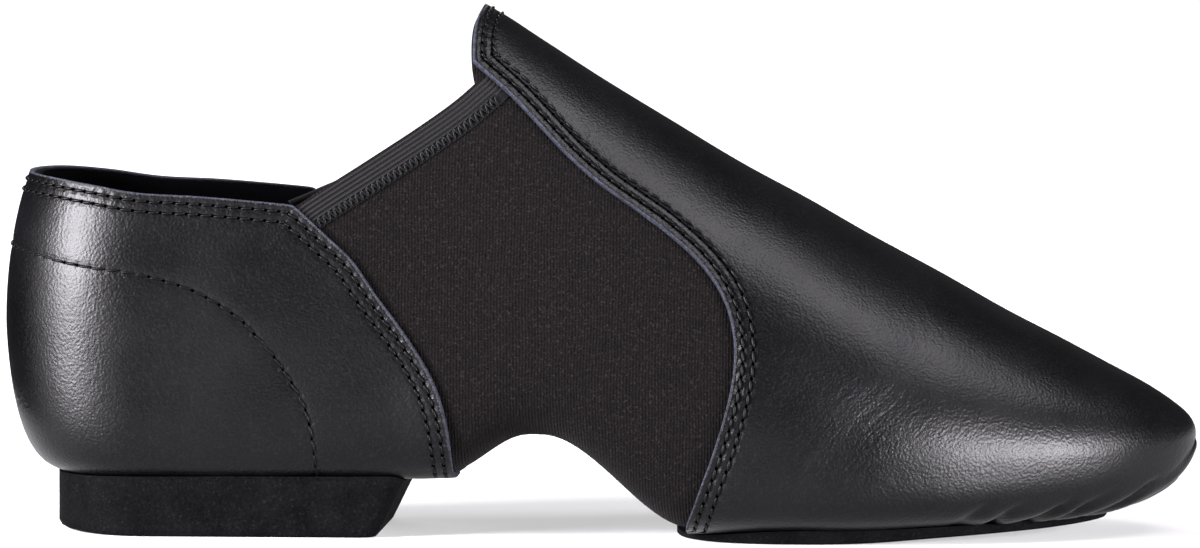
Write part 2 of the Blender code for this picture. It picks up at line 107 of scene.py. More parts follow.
# One row for each section of the last, from the middle of the heel to the toe tip. station is a
# share of LENGTH. widest and rise, the height of the widest line and of the ridge over it, are
# shares of THROAT_HEIGHT. lift goes from 0 on the tread to 1 at the toe tip. outer, inner and
# swing, the half widths and the shift of the middle, are shares of BALL_WIDTH. crown and base
# are the roundness of the upper and lower half: 1 is an ellipse, less is squarer.
Section = namedtuple("Section", "station widest rise lift outer inner swing crown base")
SECTIONS = (
    Section(0.127, 0.359, 0.584, 0.00, 0.347, 0.347, 0.000, 1.05, 0.20),
    Section(0.198, 0.350, 0.656, 0.00, 0.344, 0.339, 0.000, 1.03, 0.20),
    Section(0.270, 0.346, 0.705, 0.00, 0.347, 0.323, 0.002, 0.99, 0.20),
    Section(0.337, 0.359, 0.692, 0.00, 0.362, 0.307, 0.007, 0.96, 0.22),
    Section(0.397, 0.386, 0.621, 0.00, 0.394, 0.300, 0.014, 0.94, 0.28),
    Section(0.452, 0.395, 0.536, 0.00, 0.434, 0.307, 0.020, 0.93, 0.33),
    Section(0.508, 0.350, 0.500, 0.00, 0.474, 0.328, 0.026, 0.93, 0.30),
    Section(0.563, 0.279, 0.494, 0.00, 0.510, 0.364, 0.032, 0.94, 0.26),
    Section(0.619, 0.220, 0.477, 0.00, 0.536, 0.405, 0.038, 0.95, 0.24),
    Section(0.675, 0.184, 0.444, 0.00, 0.548, 0.435, 0.044, 0.95, 0.23),
    Section(0.730, 0.162, 0.394, 0.01, 0.543, 0.450, 0.052, 0.94, 0.23),
    Section(0.786, 0.151, 0.336, 0.05, 0.516, 0.441, 0.060, 0.93, 0.24),
    Section(0.837, 0.148, 0.274, 0.08, 0.472, 0.412, 0.067, 0.92, 0.27),
    Section(0.885, 0.153, 0.213, 0.11, 0.411, 0.364, 0.073, 0.92, 0.32),
    Section(0.925, 0.160, 0.158, 0.16, 0.340, 0.304, 0.078, 0.92, 0.37),
    Section(0.956, 0.168, 0.113, 0.27, 0.262, 0.234, 0.081, 0.92, 0.42),
    Section(0.980, 0.175, 0.071, 0.46, 0.174, 0.155, 0.083, 0.92, 0.44),
    Section(0.995, 0.182, 0.034, 0.72, 0.085, 0.074, 0.084, 0.92, 0.44),
    Section(1.000, 0.184, 0.000, 1.00, 0.000, 0.000, 0.084, 0.92, 0.44),
)

# The columns that turn back past the toe tip, as in a mirror. The others run on.
MIRRORED = ("widest", "swing", "crown", "base", "station")

# The back of the heel: height of its furthest point, and its roundness. The ratio sets how fast
# the lower half turns under, at the back and elsewhere.
BACK_WIDEST = 0.404
BACK_CROWN = 1.08
BACK_BASE = 0.27
BACK_RATIO = 4.6
BASE_RATIO = 2.25

# Lines seen from the side. Each point is a station as a share of LENGTH and a height as a share
# of THROAT_HEIGHT.
COLLAR_LINE = (
    (-0.040, 0.684), (0.028, 0.682), (0.076, 0.670), (0.120, 0.655), (0.173, 0.649),
    (0.240, 0.637), (0.252, 0.632),
)
BAND_LINE = (
    (0.252, 0.632), (0.271, 0.661), (0.308, 0.715), (0.350, 0.778), (0.382, 0.830),
    (0.4015, 0.868),
)
THROAT_LINE = (
    (0.4015, 0.868), (0.3990, 0.903), (0.3985, 0.945), (0.4000, 0.979), (0.4030, 1.000),
)
VAMP_LINE = (
    (0.3995, 0.903), (0.412, 0.880), (0.434, 0.838), (0.456, 0.789), (0.482, 0.731),
    (0.509, 0.680), (0.536, 0.638), (0.562, 0.597), (0.594, 0.533), (0.615, 0.463),
    (0.6235, 0.380), (0.620, 0.289), (0.607, 0.184), (0.595, 0.110), (0.581, 0.023),
)
COUNTER_LINE = (
    (0.251, 0.632), (0.264, 0.606), (0.281, 0.571), (0.301, 0.528), (0.320, 0.466),
    (0.340, 0.406), (0.358, 0.345), (0.371, 0.288), (0.380, 0.216), (0.3845, 0.125),
    (0.382, 0.090),
)

# The single row of stitches across the counter, from the middle of the back to the heel block.
STIFFENER_LINE = (
    (-0.010, 0.548), (0.032, 0.533), (0.055, 0.522), (0.084, 0.511), (0.112, 0.505),
    (0.144, 0.489), (0.171, 0.467), (0.203, 0.424), (0.222, 0.381), (0.237, 0.341),
    (0.250, 0.297), (0.260, 0.254), (0.266, 0.204), (0.269, 0.151), (0.270, 0.100),
)

# The fold of the vamp over the ball, seen from the side, and the soft troughs and ridges beside
# it: how far they lie ahead of it, how deep they are, below zero for a ridge, and how wide. The
# fine wrinkles keep within FOLD_REACH.
FOLD_LINE = (
    (0.655, 0.060), (0.680, 0.123), (0.723, 0.245), (0.754, 0.307), (0.763, 0.381),
    (0.745, 0.452), (0.715, 0.500),
)
Fold = namedtuple("Fold", "ahead depth width")
FOLDS = (
    Fold(-0.0100, 0.00004, 0.0046),
    Fold(0.0030, 0.00020, 0.0058),
    Fold(0.0150, -0.00006, 0.0080),
)
FOLD_REACH = 0.011

# Pleats under the toe: the middle that they run from, as shares of LENGTH and BALL_WIDTH, where
# they start, as a share of LENGTH, and how slanted, how close and how deep they are.
PLEAT_MIDDLE = (0.80, 0.060)
PLEAT_START = 0.79
PLEAT_SLANT = 34.0
PLEAT_COUNT = 13.0
PLEAT_DEPTH = 0.0021

# Soft waves of each leather panel: how long and how deep they are.
VAMP_WAVES = (0.022, 0.00020)
COUNTER_WAVES = (0.020, 0.00014)

# The double rows of stitches: how deep they pull the leather in, how far from the cut edge and
# how widely, the space between two stitches, how far each slants and how high it lies, as a share
# of its width, and where the rows end: a height on the vamp, a rise on the counter.
PULL_DEPTH = 0.00012
PULL_MIDDLE = 0.0026
PULL_WIDTH = 0.0024
STITCH_SPACE = 0.0005
STITCH_SLANT = 0.00016
STITCH_LIFT = 0.30
VAMP_ROW_END = 0.002
COUNTER_ROW_END = -0.92

# The single row across the counter. Its pitch and thread are multiples of the double rows'.
SINGLE_PULL_DEPTH = 0.00016
SINGLE_PULL_WIDTH = 0.0012
SINGLE_PITCH = 1.15
SINGLE_THREAD = 0.9
SINGLE_SPACE = 0.0006

# The zigzag of the elastic: where it starts and ends along it, its number of turns, how far its
# upper turns lie under the top edge and its lower ones past the lower edge, and its thread and lift.
ZIGZAG_SPAN = (0.09, 0.92)
ZIGZAG_STEPS = 72
ZIGZAG_TOP = 0.0043
ZIGZAG_OVERLAP = 0.0006
ZIGZAG_THREAD = 0.95
ZIGZAG_LIFT = 0.4

# Ribs of the elastic: their height and number, the width and depth of the rounded top edge, and
# how far the elastic stands over the knit.
RIB_HEIGHT = 0.00034
RIB_COUNT = 5.5
BAND_EDGE = 0.0004
BAND_EDGE_DEPTH = 0.0005
BAND_LIFT = 0.00012

# Rows and columns of the panels' grids. Up to GORE_CHANGE, a share of its height, the gore has the
# lower rows, which lie closer together below.
LOWER_ROWS = 30
VAMP_ROWS = 64
VAMP_REAR_COLUMNS = 64
VAMP_FRONT_COLUMNS = 132
COUNTER_ROWS = 90
COUNTER_COLUMNS = 260
GORE_CHANGE = 0.6
GORE_ROWS = 24
GORE_COLUMNS = 150
THROAT_ROWS = 16
FRONT_COLUMNS = 120
BAND_ROWS = 57
BAND_COLUMNS = 120

# Points of the lines that the grids, the seams and the soles follow.
REAR_EDGE_POINTS = 400
OPENING_POINTS = 60
VAMP_CUT_POINTS = 1200
COUNTER_CUT_POINTS = 700
COLLAR_CUT_POINTS = 1400
COLLAR_ROW_POINTS = 300
SINGLE_ROW_POINTS = 1600
HEEL_REAR_POINTS = 65
HEEL_SIDE_POINTS = 20
BREAST_POINTS = 24
CORNER_POINTS = 7
TREAD_POINTS = 90

# Studio: half the floor's width, the backdrop behind it, the lights' colour and target, the
# strength of the sky, the black card, and how many camera distances stay in view.
FLOOR_REACH = 60
BACKDROP_RADIUS = 58
LIGHT_COLOUR = (1.0, 0.965, 1.03)
LIGHT_TARGET = (0.0, 0.0, 0.05)
SKY_STRENGTH = 0.05
FLAG_PLACE = (-0.19, 0.17, 0.15)
FLAG_SIZE = (0.36, 0.3)
VIEW_REACH = 40

# The ways from the middle of the back to the first section, and to where the vamp's columns stop
# following its rear edge.
HEEL_WAY = 2.7
BODY_WAY = HEEL_WAY + 8.8

# Values that follow from the ones above.
TREAD_TOP = OUTSOLE + CLEARANCE
SKIVED_TOP = SKIVE_SHARE * OUTSOLE + CLEARANCE
TIP_HEIGHT = SECTIONS[-1].widest * THROAT_HEIGHT
HEEL_MIDDLE = SECTIONS[0].station * LENGTH
TIP_PLACE = len(SECTIONS) - 1
TIP_WAY = HEEL_WAY + TIP_PLACE

# Both sides of the shoe, two angles, and how fine curves and searches are.
SIDES = ((-1, "outer"), (1, "inner"))
QUARTER_TURN = math.pi / 2
SHARP_ANGLE = math.radians(40)
CURVE_STEPS = 16
HALVINGS = 40
TINY = 1e-9


def a_length(name, description, default):
    """A length that the add-on holds."""
    return FloatProperty(name=name, description=description, default=default, unit="LENGTH")


def a_colour(name, description, default):
    """A colour that the add-on holds."""
    return FloatVectorProperty(
        name=name, description=description, default=default, subtype="COLOR"
    )


def an_angle(name, description, degrees):
    """An angle that the add-on holds."""
    return FloatProperty(
        name=name, description=description, default=math.radians(degrees), subtype="ANGLE"
    )


def a_power(name, description, default):
    """The power of a light that the add-on holds."""
    return FloatProperty(name=name, description=description, default=default, unit="POWER")


class ShoeSizes(bpy.types.PropertyGroup):
    """Sizes of the shoe's materials and seams."""

    leather: a_length("Leather", "Thickness of the leather", 0.0012)
    knit: a_length("Knit", "Thickness of the stretch knit", 0.0015)
    knit_inset: a_length("Knit inset", "How far the knit lies inside the leather's outer face", 0.0014)
    thread: a_length("Thread", "Width of a stitch", 0.00066)
    pitch: a_length("Pitch", "Distance between two stitches", 0.0028)
    first_row: a_length("First row", "Distance of the first row of stitches from the cut edge", 0.0018)
    second_row: a_length("Second row", "Distance of the second row of stitches from the cut edge", 0.0040)
    grain: a_length("Grain", "Size of a pebble of the leather", 0.0006)
    wale: a_length("Wale", "Width of one rib of the knit", 0.00066)
    cord: a_length("Cord", "Width of one rib of the elastic", 0.00092)


class ShoeColours(bpy.types.PropertyGroup):
    """Colours of the shoe's finishes."""

    leather: a_colour("Leather", "Dyed leather", (0.0006, 0.0006, 0.0008))
    raw_edge: a_colour("Cut edge", "Cut leather", (0.015, 0.017, 0.025))
    knit: a_colour("Knit", "Stretch knit", (0.0021, 0.0017, 0.0017))
    elastic: a_colour("Elastic", "Ribbed elastic", (0.0024, 0.0023, 0.0025))
    thread: a_colour("Thread", "Sewing thread", (0.0008, 0.0008, 0.0010))
    rubber: a_colour("Rubber", "Heel and outsole", (0.0008, 0.0008, 0.0009))
    lining: a_colour("Lining", "Inside of the shoe", (0.0003, 0.0003, 0.0004))
    floor: a_colour("Floor", "Studio floor", (0.29, 0.29, 0.29))


class ShoeStudio(bpy.types.PropertyGroup):
    """The camera's place and the power of the lights."""

    azimuth: an_angle("Azimuth", "Turn of the camera from the outer side towards the toe", 4.0)
    elevation: an_angle("Elevation", "Height of the camera over the horizon", 4.3)
    distance: a_length("Distance", "From the camera to the shoe", 5.0)
    view_width: a_length("View width", "What the frame's width takes in at the shoe", 0.25402)
    aim_height: a_length("Aim height", "Height over the floor of the frame's middle", 0.0542)
    key: a_power("Key", "Power of the light overhead", 12.0)
    left: a_power("Left", "Power of the light behind the heel", 150.0)
    back: a_power("Back", "Power of the light behind", 10.0)
    right: a_power("Right", "Power of the light at the toe", 77.0)


def blend(start, end, share):
    """The value a share of the way from start to end."""
    return start + (end - start) * share


def smooth(share):
    """0 to 1 with a level start and end."""
    share = np.clip(share, 0.0, 1.0)
    return share * share * (3.0 - 2.0 * share)


def spline(before, start, end, after, share):
    """The point between start and end of a smooth curve through all four values."""
    slope = end - before
    bend = 2 * before - 5 * start + 4 * end - after
    twist = 3 * start - before - 3 * end + after
    return start + 0.5 * share * (slope + share * (bend + share * twist))


def field_values(field):
    """A column of SECTIONS, carried on past its first and last row."""
    values = [getattr(section, field) for section in SECTIONS]
    before = 2 * values[0] - values[1] if field == "station" else values[1]
    after = values[-2] if field in MIRRORED else 2 * values[-1] - values[-2]
    return np.array([before, *values, after])


def section_at(place):
    """The sections at places counted in rows of the table."""
    place = np.asarray(place, float)
    row = np.minimum(place.astype(int), len(SECTIONS) - 2)
    share = place - row
    fields = []
    for field in Section._fields:
        values = field_values(field)
        fields.append(spline(*(values[row + step] for step in range(4)), share))
    return Section(*fields)


def underside(x):
    """Height of the leather's underside along the middle, before the toe lifts."""
    station = x / LENGTH
    rise = smooth((station - SEAT_END) / (ARCH_START - SEAT_END))
    fall = smooth((station - ARCH_END) / (TREAD_START - ARCH_END))
    swell = smooth((station - TREAD_START) / (TREAD_WIDEST - TREAD_START))
    heel = blend(SEAT_HEIGHT, ARCH_HEIGHT, rise)
    arch = blend(ARCH_HEIGHT, SKIVED_TOP, fall)
    tread = blend(SKIVED_TOP, TREAD_TOP, swell)
    return np.where(station < ARCH_START, heel, np.where(station < TREAD_START, arch, tread))


def bottom_of(section):
    """Height of a section's lowest point."""
    return blend(underside(section.station * LENGTH), TIP_HEIGHT, section.lift)


Shape = namedtuple("Shape", "x back across middle widest top bottom crown base ratio")


def shape_at(way):
    """What the half section at a way needs; behind the heel's middle it is turned round it."""
    place = np.abs(way) - HEEL_WAY
    turn = np.clip(-place / HEEL_WAY, 0.0, 1.0) * QUARTER_TURN
    section = section_at(np.clip(place, 0.0, TIP_PLACE))
    share = np.sin(turn) ** 2
    half = np.where(way < 0, -section.outer, section.inner) * BALL_WIDTH
    return Shape(
        x=section.station * LENGTH,
        back=np.sin(turn) ** HEEL_PLAN_POWER * HEEL_MIDDLE,
        across=np.maximum(np.cos(turn), 0.0) ** HEEL_PLAN_POWER * half,
        middle=section.swing * BALL_WIDTH,
        widest=blend(section.widest, BACK_WIDEST, share) * THROAT_HEIGHT,
        top=(section.widest + section.rise) * THROAT_HEIGHT,
        bottom=bottom_of(section),
        crown=blend(section.crown, BACK_CROWN, share),
        base=blend(section.base, BACK_BASE, share),
        ratio=blend(BASE_RATIO, BACK_RATIO, share),
    )


def skin(way, rise):
    """Points of the last's face, with x from the back of the heel."""
    way, rise = np.broadcast_arrays(np.asarray(way, float), np.asarray(rise, float))
    shape = shape_at(way)
    power = shape.ratio * shape.base
    below = np.clip(-rise, 0.0, 1.0) ** (1 / power) * QUARTER_TURN
    above = np.clip(rise, 0.0, 1.0) * QUARTER_TURN
    low_out = np.maximum(np.cos(below), 0.0) ** shape.base
    high_out = np.maximum(np.cos(above), 0.0) ** shape.crown
    low_z = shape.widest - (shape.widest - shape.bottom) * np.sin(below) ** power
    high_z = shape.widest + (shape.top - shape.widest) * np.sin(above)
    out = np.where(rise < 0, low_out, high_out)
    z = np.where(rise < 0, low_z, high_z)
    return np.stack([shape.x - shape.back * out, shape.middle + shape.across * out, z], -1)


def rise_at(way, z):
    """The rise of the last's point at a way and a height."""
    shape = shape_at(way)
    power = shape.ratio * shape.base
    up = (z - shape.widest) / np.maximum(shape.top - shape.widest, TINY)
    down = (shape.widest - z) / np.maximum(shape.widest - shape.bottom, TINY)
    high = np.arcsin(np.clip(up, 0.0, 1.0)) / QUARTER_TURN
    low = (np.arcsin(np.clip(down, 0.0, 1.0) ** (1 / power)) / QUARTER_TURN) ** power
    return np.where(z < shape.widest, -low, high)


PLACES = np.linspace(0, TIP_PLACE, 100 * TIP_PLACE + 1)
PLACE_X = section_at(PLACES).station * LENGTH


def halved(low, high, is_past):
    """The values between low and high at which is_past turns true."""
    for _ in range(HALVINGS):
        middle = (low + high) / 2
        past = is_past(middle)
        high = np.where(past, middle, high)
        low = np.where(past, low, middle)
    return (low + high) / 2


def way_at(x, z, side):
    """The way of the last's point that shows at x and z from one side: -1 is outside, 1 inside."""
    ahead = np.interp(x, PLACE_X, PLACES) + HEEL_WAY

    def is_past(way):
        return skin(side * way, rise_at(side * way, z))[..., 0] > x

    behind = halved(np.zeros_like(ahead), np.full_like(ahead, HEEL_WAY), is_past)
    return side * np.where(x < HEEL_MIDDLE, behind, ahead)


def curve_through(points):
    """A smooth line through these points, with its ends kept."""
    points = np.array(points, float)
    padded = np.concatenate([points[:1], points, points[-1:]])
    share = np.linspace(0, 1, CURVE_STEPS, endpoint=False)[:, None]
    pieces = [spline(*padded[row : row + 4], share) for row in range(len(points) - 1)]
    return np.concatenate([*pieces, points[-1:]])


def edge(points):
    """A line seen from the side, in metres."""
    return curve_through(points) * (LENGTH, THROAT_HEIGHT)


def on_last(line, side):
    """The ways and rises of a line seen from one side."""
    way = way_at(line[:, 0], line[:, 1], side)
    return np.stack([way, rise_at(way, line[:, 1])], -1)


def lengths_along(points):
    """How far along a line each of its points lies."""
    steps = np.linalg.norm(np.diff(points, axis=0), axis=1)
    return np.concatenate([[0.0], np.cumsum(steps)])


def rows_at(at, marks, rows):
    """The rows of an array where these marks along them read at."""
    return np.stack([np.interp(at, marks, column) for column in rows.T], -1)


def spread(line, count):
    """Places of a line on the last, spread again at equal distances."""
    along = lengths_along(skin(*line.T))
    return rows_at(np.linspace(0, along[-1], count), along, line)


def moved_left(line, distance):
    """A flat line, moved to the left of its direction by a distance."""
    along = np.gradient(line, axis=0)
    along /= np.maximum(np.linalg.norm(along, axis=1), TINY)[:, None]
    return line + np.stack([-along[:, 1], along[:, 0]], -1) * distance


def shifted(line, distance):
    """A line seen from the side, moved to the left, without the points that cross over."""
    moved = moved_left(line, distance)
    away = nearest(moved, line)[0]
    return moved[away > 0.97 * abs(distance)]


def nearest(points, line):
    """For each point the distance to the nearest of a dense line's points, and which it is."""
    flat = line.shape[1] == 2
    tree = KDTree(len(line))
    for index, spot in enumerate(line):
        tree.insert((*spot, 0.0) if flat else spot, index)
    tree.balance()
    found = [tree.find((*point, 0.0) if flat else point) for point in points]
    return np.array([entry[2] for entry in found]), np.array([entry[1] for entry in found])


def patch(bottom, top, left, right):
    """A grid between four lines that meet at their ends, with its rows from bottom to top."""
    across = np.linspace(0, 1, len(bottom))[None, :, None]
    along = np.linspace(0, 1, len(left))[:, None, None]
    rows = blend(bottom[None], top[None], along)
    columns = blend(left[:, None], right[:, None], across)
    low = blend(bottom[0], bottom[-1], across)
    high = blend(top[0], top[-1], across)
    return rows + columns - blend(low, high, along)


def add_grid(form, points):
    """Adds a grid to a form, each of its crossings at one of these points."""
    rows, columns = points.shape[:2]
    made = bmesh.ops.create_grid(form, x_segments=columns - 1, y_segments=rows - 1, size=0.5)
    for vert in made["verts"]:
        column = round((vert.co.x + 0.5) * (columns - 1))
        row = round((vert.co.y + 0.5) * (rows - 1))
        vert.co = points[row, column]


def close(form):
    """Merges what meets and turns all faces outwards."""
    bmesh.ops.remove_doubles(form, verts=form.verts, dist=2e-6)
    bmesh.ops.dissolve_degenerate(form, edges=form.edges, dist=1e-7)
    bmesh.ops.recalc_face_normals(form, faces=form.faces)
    middle = sum((vert.co for vert in form.verts), Vector()) / len(form.verts)
    outward = sum(
        (face.calc_center_median() - middle).dot(face.normal) * face.calc_area()
        for face in form.faces
    )
    if outward < 0:
        bmesh.ops.reverse_faces(form, faces=form.faces)
    form.normal_update()


def coordinates(form):
    """The places of a form's points as an array."""
    return np.array([vert.co for vert in form.verts])


def move_out(form, amounts):
    """Moves each point along its normal."""
    moves = [vert.normal * float(amount) for vert, amount in zip(form.verts, amounts)]
    for vert, move in zip(form.verts, moves):
        vert.co += move
    form.normal_update()


def keep(form, **columns):
    """Stores values for each point, for the materials to read."""
    for name, values in columns.items():
        layer = form.verts.layers.float.new(name)
        for vert, value in zip(form.verts, values):
            vert[layer] = float(value)


def keep_rim(form, cut):
    """Stores how far each point is from a cut edge, and along it, and gives back the first."""
    rim, index = nearest(coordinates(form), cut)
    keep(form, rim=rim, along=lengths_along(cut)[index])
    return rim


def mesh_of(form, name):
    """Turns a form into a mesh."""
    mesh = bpy.data.meshes.new(name)
    form.to_mesh(mesh)
    form.free()
    return mesh


def add_object(form, name, materials):
    """Makes an object of a form."""
    mesh = mesh_of(form, name)
    for material in materials:
        mesh.materials.append(material)
    made = bpy.data.objects.new(name, mesh)
    bpy.context.scene.collection.objects.link(made)
    return made


def add_piece(form, name, materials, replaces=()):
    """Makes a piece of the shoe of a form, with its middle at the origin in x."""
    bmesh.ops.translate(form, verts=form.verts, vec=(-LENGTH / 2, 0, 0))
    piece = add_object(form, name, materials)
    piece.data.shade_smooth()
    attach(piece, "root")
    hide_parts(*replaces)
    return piece


def thicken(piece, thickness, inner=0, rim=1):
    """Gives a piece its wall, inwards, with materials of its own inside and on the cut edge."""
    wall = piece.modifiers.new("wall", "SOLIDIFY")
    wall.thickness = thickness
    wall.offset = -1.0
    wall.material_offset = inner
    wall.material_offset_rim = rim


class Finish:
    """A material and short calls for its nodes."""

    def __init__(self, name, colour, roughness, specular):
        self.material = bpy.data.materials.new(name)
        self.material.use_nodes = True
        self.nodes = self.material.node_tree.nodes
        self.links = self.material.node_tree.links
        self.shader = self.nodes["Principled BSDF"]
        self.shader.inputs["Base Color"].default_value = (*colour, 1.0)
        self.shader.inputs["Roughness"].default_value = roughness
        self.shader.inputs["Specular IOR Level"].default_value = specular
        self.place = self.add("ShaderNodeTexCoord").outputs["Object"]

    def add(self, kind, inputs=None, **settings):
        """Adds a node, with its inputs set or joined."""
        node = self.nodes.new(kind)
        for name, value in settings.items():
            setattr(node, name, value)
        for name, value in (inputs or {}).items():
            self.join(value, node.inputs[name])
        return node

    def join(self, value, socket):
        """Sets a socket, or joins it to another node's output."""
        if isinstance(value, bpy.types.NodeSocket):
            self.links.new(value, socket)
        else:
            socket.default_value = value

    def calc(self, operation, first, second=0.0, third=0.0):
        """What an operation makes of up to three values."""
        values = {0: first, 1: second, 2: third}
        return self.add("ShaderNodeMath", values, operation=operation).outputs[0]

    def noise(self, size, detail=3.0, roughness=0.5, place=None):
        """Noise with lumps of a size."""
        inputs = {"Vector": place or self.place, "Scale": 1 / size, "Detail": detail}
        inputs["Roughness"] = roughness
        return self.add("ShaderNodeTexNoise", inputs).outputs["Fac"]

    def cells(self, size):
        """Distance from the middles of random cells of a size, with soft borders."""
        inputs = {"Vector": self.place, "Scale": 1 / size}
        return self.add("ShaderNodeTexVoronoi", inputs, feature="SMOOTH_F1").outputs["Distance"]

    def pair(self, x, y):
        """A vector of two values."""
        return self.add("ShaderNodeCombineXYZ", {"X": x, "Y": y}).outputs["Vector"]

    def length(self, vector):
        """How long a vector is."""
        return self.add("ShaderNodeVectorMath", {0: vector}, operation="LENGTH").outputs["Value"]

    def streaks(self, across, width, along, length, detail, roughness):
        """Noise over two values of the piece, with lumps of a width and a length."""
        x = self.calc("DIVIDE", across, width)
        y = self.calc("DIVIDE", along, length)
        return self.noise(1.0, detail, roughness, self.pair(x, y))

    def remap(self, value, low, high, new_low, new_high):
        """A value moved from one span to another and kept inside it."""
        inputs = {"Value": value, "From Min": low, "From Max": high}
        inputs.update({"To Min": new_low, "To Max": new_high})
        return self.add("ShaderNodeMapRange", inputs).outputs["Result"]

    def stored(self, name):
        """A value kept on the piece's points."""
        return self.add("ShaderNodeAttribute", attribute_name=name).outputs["Fac"]

    def bump(self, height, depth, below=None):
        """Adds relief of a depth in metres, over what was there."""
        inputs = {"Height": height, "Strength": 1.0, "Distance": depth}
        if below is not None:
            inputs["Normal"] = below
        return self.add("ShaderNodeBump", inputs).outputs["Normal"]

    def mix(self, share, first, second):
        """A colour between two others, each a colour of four numbers or another node's."""
        node = self.add("ShaderNodeMix", data_type="RGBA")
        for socket, value in ((0, share), (6, first), (7, second)):
            self.join(value, node.inputs[socket])
        return node.outputs[2]

    def shades(self, share, colour, dark, light):
        """A colour between a darker and a lighter shade of one."""
        shades = ((*(channel * scale for channel in colour), 1.0) for scale in (dark, light))
        return self.mix(share, *shades)

    def paint(self, socket, value):
        """Joins a value to the shader."""
        self.join(value, self.shader.inputs[socket])


def cut_fibres(finish, colours, light):
    """The fibres of cut leather: how high they stand, and their colour."""
    fibres = finish.noise(0.0008, 4.0, 0.75)
    strands = finish.remap(fibres, 0.35, 0.65, 0.0, 1.0)
    return fibres, finish.shades(strands, colours.raw_edge, 0.1, light)


def leather_finish(sizes, colours):
    """Dyed leather with fine pebbles, pulled down along its seams, with painted glints and painted
    highlights along the fold's wrinkles in its colour, and painted shade in its stitch holes and seam
    grooves.
    """
    finish = Finish("black_leather", colours.leather, 0.40, 0.14)
    cloud = finish.noise(0.018, 3.0)
    grains = finish.noise(sizes.grain * 0.9, 2.0, 0.6)
    # Painted glints: the grain's brighter specks lighten the colour, as if light caught them.
    painted_glints = finish.remap(grains, 0.50, 0.72, 0.0, 0.45)
    rough = finish.remap(cloud, 0.3, 0.7, 0.31, 0.39)
    pebbles = finish.cells(sizes.grain)
    relief = finish.bump(pebbles, 0.00006)
    relief = finish.bump(grains, 0.00006, relief)
    relief = finish.bump(finish.noise(0.007, 2.0), 0.00007, relief)
    fold_ahead, fold_along = finish.stored("fold_ahead"), finish.stored("fold_along")
    wrinkles = finish.streaks(fold_ahead, 0.0013, fold_along, 0.020, 3.0, 0.55)
    creased = finish.calc("MULTIPLY", wrinkles, finish.stored("creased"))
    shade = finish.calc("ADD", finish.remap(cloud, 0.3, 0.7, 0.0, 0.09), painted_glints)
    # Painted highlights: light streaks along the fold's wrinkles, added to the colour.
    shade = finish.calc("ADD", shade, finish.remap(creased, 0.42, 0.66, 0.0, 0.28))
    # The face's colour holds random clouds of tone, the painted glints and the painted crease highlights.
    face = finish.shades(shade, colours.leather, 0.2, 7.0)
    relief = finish.bump(creased, 0.00010, relief)
    rim = finish.stored("rim")
    puckers = finish.streaks(finish.stored("along"), 0.0015, rim, 0.007, 2.0, 0.5)
    puckers = finish.calc("MULTIPLY", puckers, finish.remap(rim, 0.0035, 0.012, 1.0, 0.0))
    relief = finish.bump(puckers, 0.00009, relief)
    # Painted shade: the stitch holes and the grooves of the rows are painted black, made rougher and lose
    # their shine.
    painted_seam_shade = 0.0
    for row, distance, along, pitch, pull in (
        (sizes.first_row, rim, "along", sizes.pitch, 0.00016),
        (sizes.second_row, rim, "along", sizes.pitch, 0.00010),
        (0.0, finish.stored("seam"), "seam_along", sizes.pitch * SINGLE_PITCH, 0.00008),
    ):
        off = finish.calc("SUBTRACT", distance, row)
        phase = finish.calc("DIVIDE", finish.stored(along), pitch)
        step = finish.calc("SUBTRACT", finish.calc("FRACT", finish.calc("ADD", phase, 0.5)), 0.5)
        near = finish.length(finish.pair(off, finish.calc("MULTIPLY", step, pitch)))
        relief = finish.bump(finish.remap(near, 0.0, 0.0012, 0.0, 1.0), pull, relief)
        gap = finish.calc("ABSOLUTE", off)
        relief = finish.bump(finish.remap(gap, 0.0, 0.0010, 0.0, 1.0), pull * 0.7, relief)
        painted_seam_shade = finish.calc("MAXIMUM", painted_seam_shade, finish.remap(near, 0.00030, 0.00055, 1.0, 0.0))
        painted_seam_shade = finish.calc("MAXIMUM", painted_seam_shade, finish.remap(gap, 0.00020, 0.00042, 0.9, 0.0))
    ragged = finish.calc("MULTIPLY_ADD", finish.noise(0.0009, 3.0, 0.7), 0.0007, rim)
    cut = finish.remap(ragged, 0.00055, 0.00085, 1.0, 0.0)
    fibres, raw = cut_fibres(finish, colours, 1.3)
    # The colour: the painted shade of holes and grooves over the face and its cut edge.
    finish.paint("Base Color", finish.mix(painted_seam_shade, finish.mix(cut, face, raw), (0.0, 0.0, 0.0, 1.0)))
    rough = finish.calc("MULTIPLY_ADD", cut, 0.45, rough)
    finish.paint("Roughness", finish.calc("MULTIPLY_ADD", painted_seam_shade, 0.5, rough))
    relief = finish.bump(finish.calc("MULTIPLY", fibres, cut), 0.00025, relief)
    finish.paint("Specular IOR Level", finish.remap(painted_seam_shade, 0.0, 1.0, 0.14, 0.0))
    finish.paint("Normal", relief)
    return finish.material


def raw_edge_finish(colours):
    """The cut edge of the leather: fibres with a little of the dye's blue."""
    finish = Finish("cut_leather_edge", colours.raw_edge, 0.85, 0.12)
    finish.paint("Base Color", cut_fibres(finish, colours, 1.1)[1])
    finish.paint("Normal", finish.bump(finish.noise(0.0004, 3.0), 0.0002))
    return finish.material


